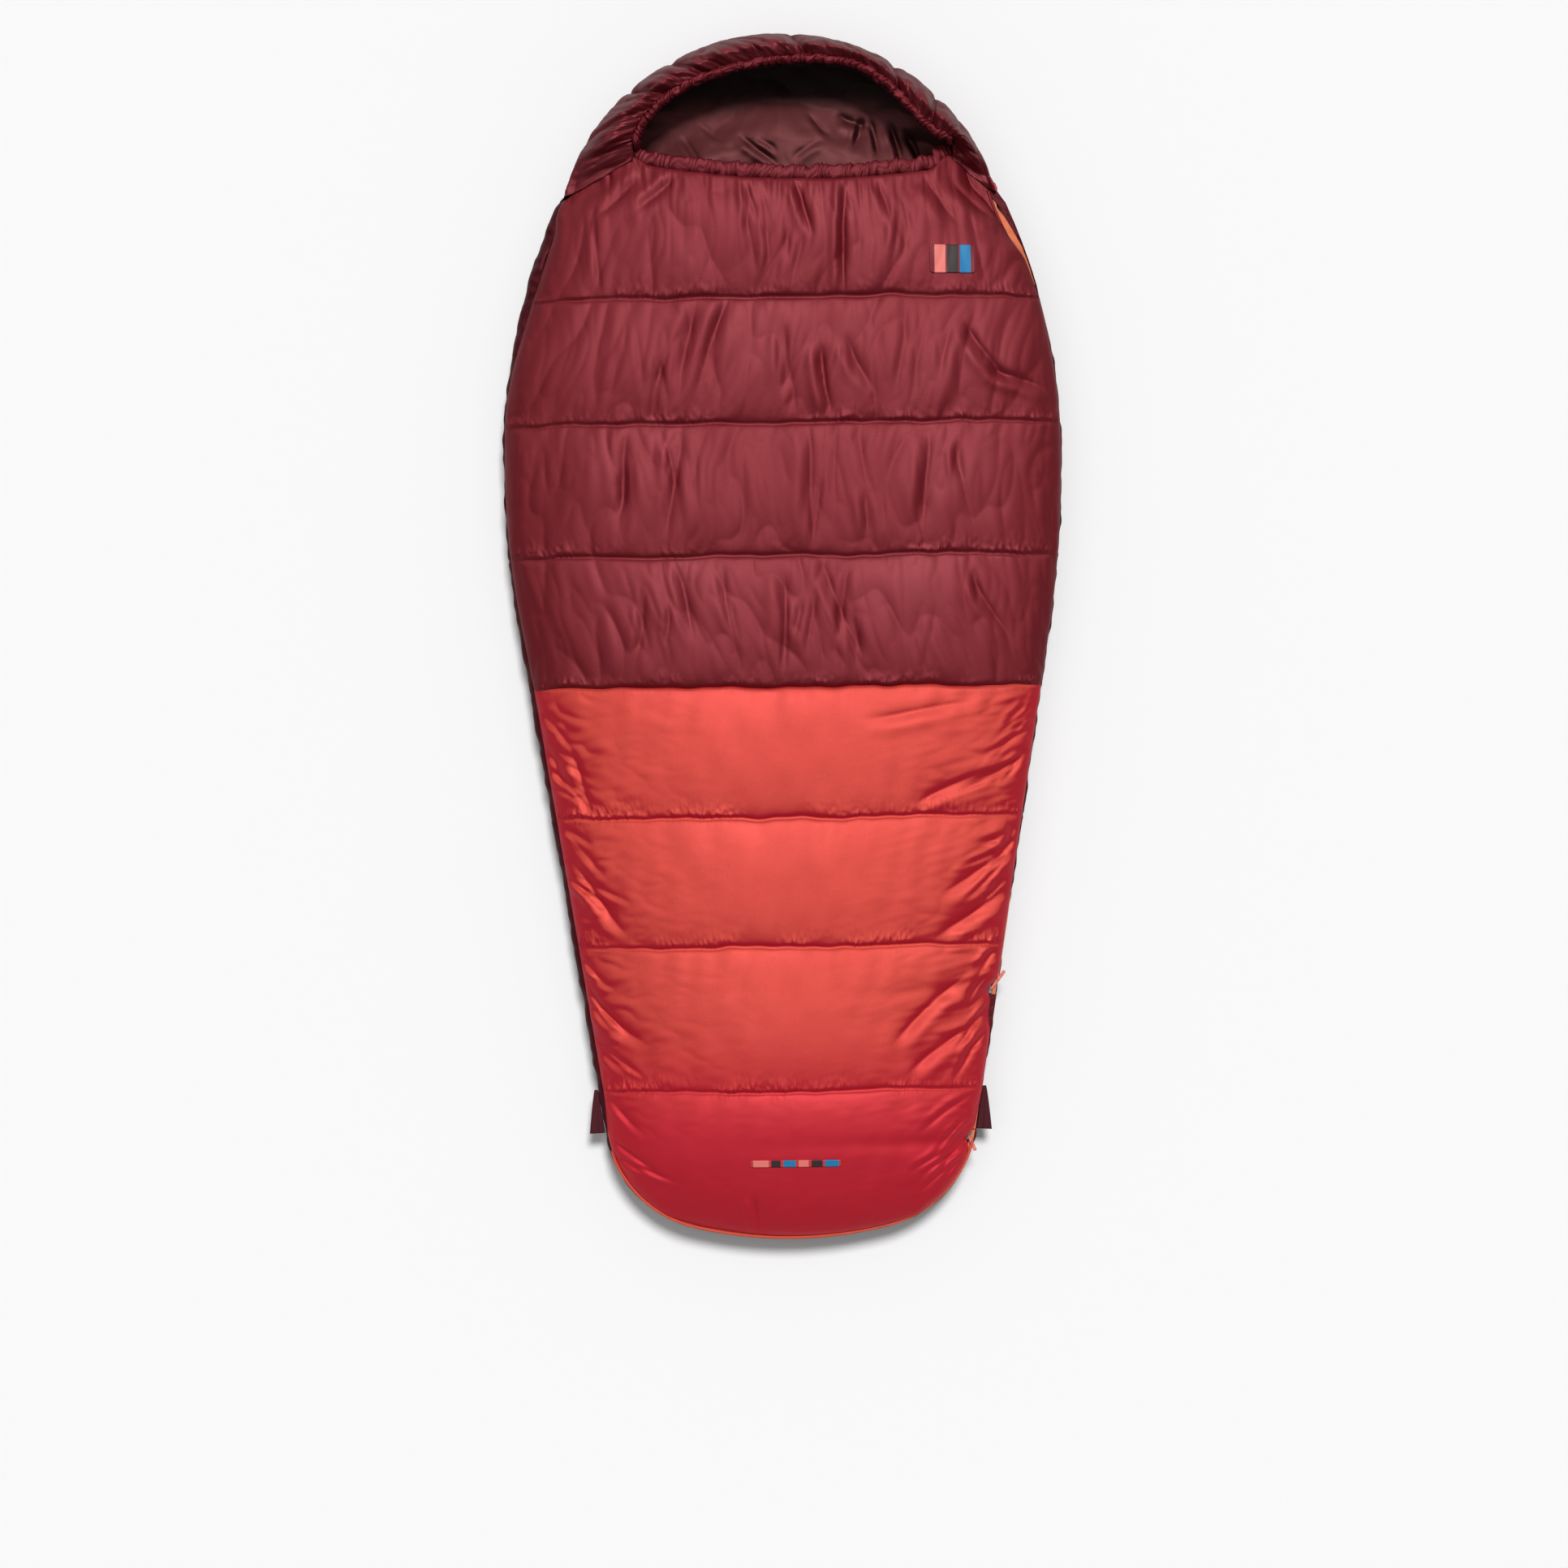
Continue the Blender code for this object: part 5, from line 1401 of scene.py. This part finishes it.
def tape_finish(name, colour, dark):
    """Woven zip tape: close ribs across it and a soft thread texture."""
    made = cloth_finish(name, colour, dark, roughness=0.7, satin=0.0, shine=0.25, thread=900.0, bump=0.3)
    tree = made.node_tree
    shader = tree.nodes["Principled BSDF"]
    place = node(tree, "ShaderNodeTexCoord").outputs["Object"]
    ribs = node(tree, "ShaderNodeTexWave", {"Vector": place, "Scale": 300.0, "Distortion": 0.6},
                bands_direction="Y").outputs["Fac"]
    threads = shader.inputs["Normal"].links[0].from_socket
    join(tree, shader, Normal=relief(tree, ribs, 0.35, 0.0003, Normal=threads))
    return made


CORAL, DARK, BLUE = (0.80, 0.20, 0.17), (0.030, 0.018, 0.020), (0.010, 0.20, 0.44)


def striped_finish(name, ground, stripes, low, high):
    """Satin label with plain coloured bars across it; stripes are (start, stop, colour) shares of x."""
    made = cloth_finish(name, ground, ground, roughness=0.5, satin=0.1, thread=2200.0, bump=0.35)
    tree = made.node_tree
    shader = tree.nodes["Principled BSDF"]
    place = node(tree, "ShaderNodeTexCoord").outputs["Object"]
    x = node(tree, "ShaderNodeSeparateXYZ", {"Vector": place}).outputs["X"]
    ramp = tree.nodes.new("ShaderNodeValToRGB")
    ramp.color_ramp.interpolation = "CONSTANT"
    bands = ramp.color_ramp.elements
    bands[0].color = (*ground, 1.0)
    bands[1].position = 0.999
    bands[1].color = (*ground, 1.0)
    for start, stop, colour in stripes:
        bands.new(start).color = (*colour, 1.0)
        bands.new(stop).color = (*ground, 1.0)
    tree.links.new(ranged(tree, x, low, high), ramp.inputs["Fac"])
    join(tree, shader, Base_Color=ramp.outputs["Color"])
    return made


def make_finishes():
    patch_low, patch_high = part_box("chest_patch")
    label_low, label_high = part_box("foot_label")
    bars = ((0.10, 0.34, CORAL), (0.38, 0.62, DARK), (0.66, 0.90, BLUE))
    segments = ((0.03, 0.20, CORAL), (0.23, 0.33, DARK), (0.36, 0.50, BLUE), (0.53, 0.64, CORAL),
                (0.67, 0.79, DARK), (0.82, 0.97, BLUE))
    # The third colour of each cloth below is painted shade for its steep folds and slopes
    return {
        "bordeaux": cloth_finish("bordeaux_taffeta", (0.245, 0.019, 0.028), (0.198, 0.013, 0.021),
                                 (0.150, 0.005, 0.011)),
        # Painted shade: a darker copy of the bordeaux cloth for the gathered rim and hem casings
        "bordeaux_rim": cloth_finish("bordeaux_gathered_shaded", (0.185, 0.015, 0.023), (0.145, 0.010, 0.017),
                                     (0.085, 0.003, 0.007), shine=0.25),
        # Painted shade: a darker copy of the bordeaux cloth for the hood's sloping faces
        "bordeaux_hood": cloth_finish("bordeaux_hood_shaded_taffeta", (0.215, 0.018, 0.026), (0.175, 0.013, 0.021),
                                      (0.110, 0.004, 0.009), shine=0.45),
        # The coral darkens to crimson towards the foot: partly painted shade where the foot slopes away,
        # partly the cloth's own colour
        "coral_red": cloth_finish("coral_taffeta", (0.68, 0.068, 0.048), (0.60, 0.052, 0.040),
                                  (0.47, 0.009, 0.023), ((0.54, 0.012, 0.028), -0.47, -0.68)),
        "wine_back": cloth_finish("wine_taffeta", (0.105, 0.007, 0.013), (0.080, 0.004, 0.009),
                                  (0.060, 0.002, 0.006), shine=0.20),
        # Painted shadow: the lining turns near black beyond y 0.69, under the hood's arch
        "wine_liner": cloth_finish("lining_taffeta", (0.150, 0.034, 0.036), (0.116, 0.025, 0.027),
                                   (0.034, 0.005, 0.006), ((0.010, 0.001, 0.001), 0.690, 0.735), shine=0.20),
        "orange_tape": tape_finish("orange_zip_tape", (0.86, 0.24, 0.11), (0.74, 0.17, 0.075)),
        "piping": tape_finish("foot_piping_tape", (0.70, 0.10, 0.05), (0.60, 0.07, 0.04)),
        "webbing": tape_finish("wine_webbing", (0.080, 0.006, 0.012), (0.050, 0.004, 0.008)),
        "wine_coil": hard_finish("wine_nylon", (0.10, 0.018, 0.022), (0.07, 0.012, 0.016), 0.35),
        "thread_dark": hard_finish("dark_thread", (0.10, 0.010, 0.016), (0.065, 0.007, 0.011), 0.7, 0, 3000),
        "thread_red": hard_finish("red_thread", (0.48, 0.030, 0.030), (0.36, 0.02, 0.02), 0.7, 0, 3000),
        "metal": hard_finish("slider_metal", (0.30, 0.29, 0.29), (0.18, 0.17, 0.17), 0.34, 0.9, 1500),
        "red_pull": hard_finish("red_moulding", (0.74, 0.020, 0.045), (0.62, 0.014, 0.035), 0.42, 0, 700),
        "coral_pull": hard_finish("coral_moulding", (0.82, 0.20, 0.16), (0.72, 0.15, 0.12), 0.45, 0, 700),
        "patch": striped_finish("patch_weave", (0.20, 0.017, 0.026), bars, patch_low[0], patch_high[0]),
        "label": striped_finish("label_weave", (0.55, 0.035, 0.035), segments, label_low[0], label_high[0]),
    }


# ---------------------------------------------------------------- studio

FLOOR_REACH, FLOOR_Z = 150.0, -0.0005
LENS, SENSOR = 85.0, 36.0
VIEW_WIDTH, VIEW_LEVEL = 2.076, 0.08
CAMERA_X, CAMERA_Y, CAMERA_ROLL = -0.0035, -0.195, math.radians(-0.7)
# Name, direction, angle in degrees and strength
LIGHTS = (("key_light", (-0.10, -0.44, -1.0), 14.0, 2.35), ("fill_light", (0.20, 0.10, -1.0), 60.0, 0.35))


def make_studio():
    x, z = FLOOR_REACH, FLOOR_Z
    floor = mesh_object("studio_floor", [(-x, -x, z), (x, -x, z), (x, x, z), (-x, x, z)], [(0, 1, 2, 3)])
    paper = bpy.data.materials.new("paper_white")
    paper.use_nodes = True
    shader = paper.node_tree.nodes["Principled BSDF"]
    shader.inputs["Base Color"].default_value = (0.96, 0.96, 0.96, 1.0)
    shader.inputs["Roughness"].default_value = 0.9
    floor.data.materials.append(paper)
    world = bpy.data.worlds.new("studio")
    world.use_nodes = True
    sky = world.node_tree.nodes["Background"]
    sky.inputs["Color"].default_value = (1.0, 1.0, 1.0, 1.0)
    sky.inputs["Strength"].default_value = 0.20
    bpy.context.scene.world = world
    for name, toward, spread_angle, strength in LIGHTS:
        data = bpy.data.lights.new(name, "SUN")
        data.energy = strength
        data.angle = math.radians(spread_angle)
        lamp = bpy.data.objects.new(name, data)
        lamp.location = (0.0, 0.0, 3.0)
        lamp.rotation_euler = Vector(toward).to_track_quat("-Z", "Y").to_euler()
        bpy.context.collection.objects.link(lamp)
    lens = bpy.data.cameras.new("photo_camera")
    lens.lens = LENS
    lens.sensor_width = SENSOR
    camera = bpy.data.objects.new("photo_camera", lens)
    camera.location = (CAMERA_X, CAMERA_Y, VIEW_LEVEL + VIEW_WIDTH * LENS / SENSOR)
    camera.rotation_euler = (0.0, 0.0, CAMERA_ROLL)
    bpy.context.collection.objects.link(camera)
    bpy.context.scene.camera = camera
    bpy.context.scene.view_settings.view_transform = "Standard"


# ---------------------------------------------------------------- assembly

def dress(item, body, finish, nodes=()):
    """Give a piece its finish, the CAD nodes it stands for and its body."""
    item.data.materials.clear()
    item.data.materials.append(finish)
    if nodes:
        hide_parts(*nodes)
    if body == "fold":
        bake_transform(item)
    else:
        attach(item, body)


def main():
    finishes = make_finishes()
    make_studio()
    upper, lower, points, sewn = make_top()
    quilt_lining = make_quilt_lining()
    hood, hood_seams = make_hood()
    # Piece, body, finish, slot, fill and the CAD nodes it stands for
    padding = (
        (upper, "fold", "bordeaux", "bordeaux", 0.6, ("quilt_shell_upper", "margin_shell_upper")),
        (lower, "fold", "coral_red", "coral_red", 0.6, ("quilt_shell_lower", "margin_shell_lower")),
        (quilt_lining, "fold", "wine_liner", "wine_liner", 0.5,
         ("quilt_liner", "quilt_fill", "margin_liner", "margin_fill")),
        (hood, "back", "bordeaux_hood", "bordeaux", 0.6, ("hood_shell", "hood_fill")),
        (make_hood_lining(), "back", "wine_liner", "wine_liner", 0.4, ("hood_liner",)),
        (make_rim(), "back", "bordeaux_rim", "bordeaux", 0.5, ("hood_rim", "hood_elastic")),
        (make_hem(), "quilt", "bordeaux_rim", "bordeaux", 0.5, ("quilt_hem", "hem_elastic")),
        (make_back(), "back", "wine_back", "wine_back", 0.7, ("back_shell", "back_fill")),
        (make_back_lining(), "back", "wine_liner", "wine_liner", 0.5, ("back_liner",)),
    )
    for item, body, finish, slot, _, nodes in padding:
        dress(item, body, finishes[finish], nodes)
    make_edges(points, finishes)
    make_shoulder_zip(finishes)
    make_zips(finishes)
    make_stitches(points, sewn, hood_seams, finishes)
    up = math.pi / 2
    pull_tab("top_pull_tab", "top_pull", up + math.radians(20), 0.0365, 0.0095, 0.0026, 1.0,
             finishes["red_pull"], 0.026)
    for place, heading, length in (("low", up - LEG_TAPER - math.radians(28), 0.0288),
                                   ("foot", up - math.radians(13 + 142), 0.0188)):
        pull_tab(f"{place}_pull_tab", f"{place}_pull", heading, length, 0.0046, 0.0024, 0.6,
                 finishes["coral_pull"])
    for side, sign in (("right", 1.0), ("left", -1.0)):
        hang_loop(f"hang_webbing_{side}", f"hang_loop_{side}", sign, finishes["webbing"])
    draped("chest_badge", "chest_patch", upper, finishes["patch"])
    draped("foot_badge", "foot_label", lower, finishes["label"], corner=0.001)
    make_draft_tube(finishes)
    for name in ("top_slider", "low_slider", "foot_slider", "side_zip_top_stop", "foot_zip_end_stop"):
        repaint(name, finishes["metal"])


main()
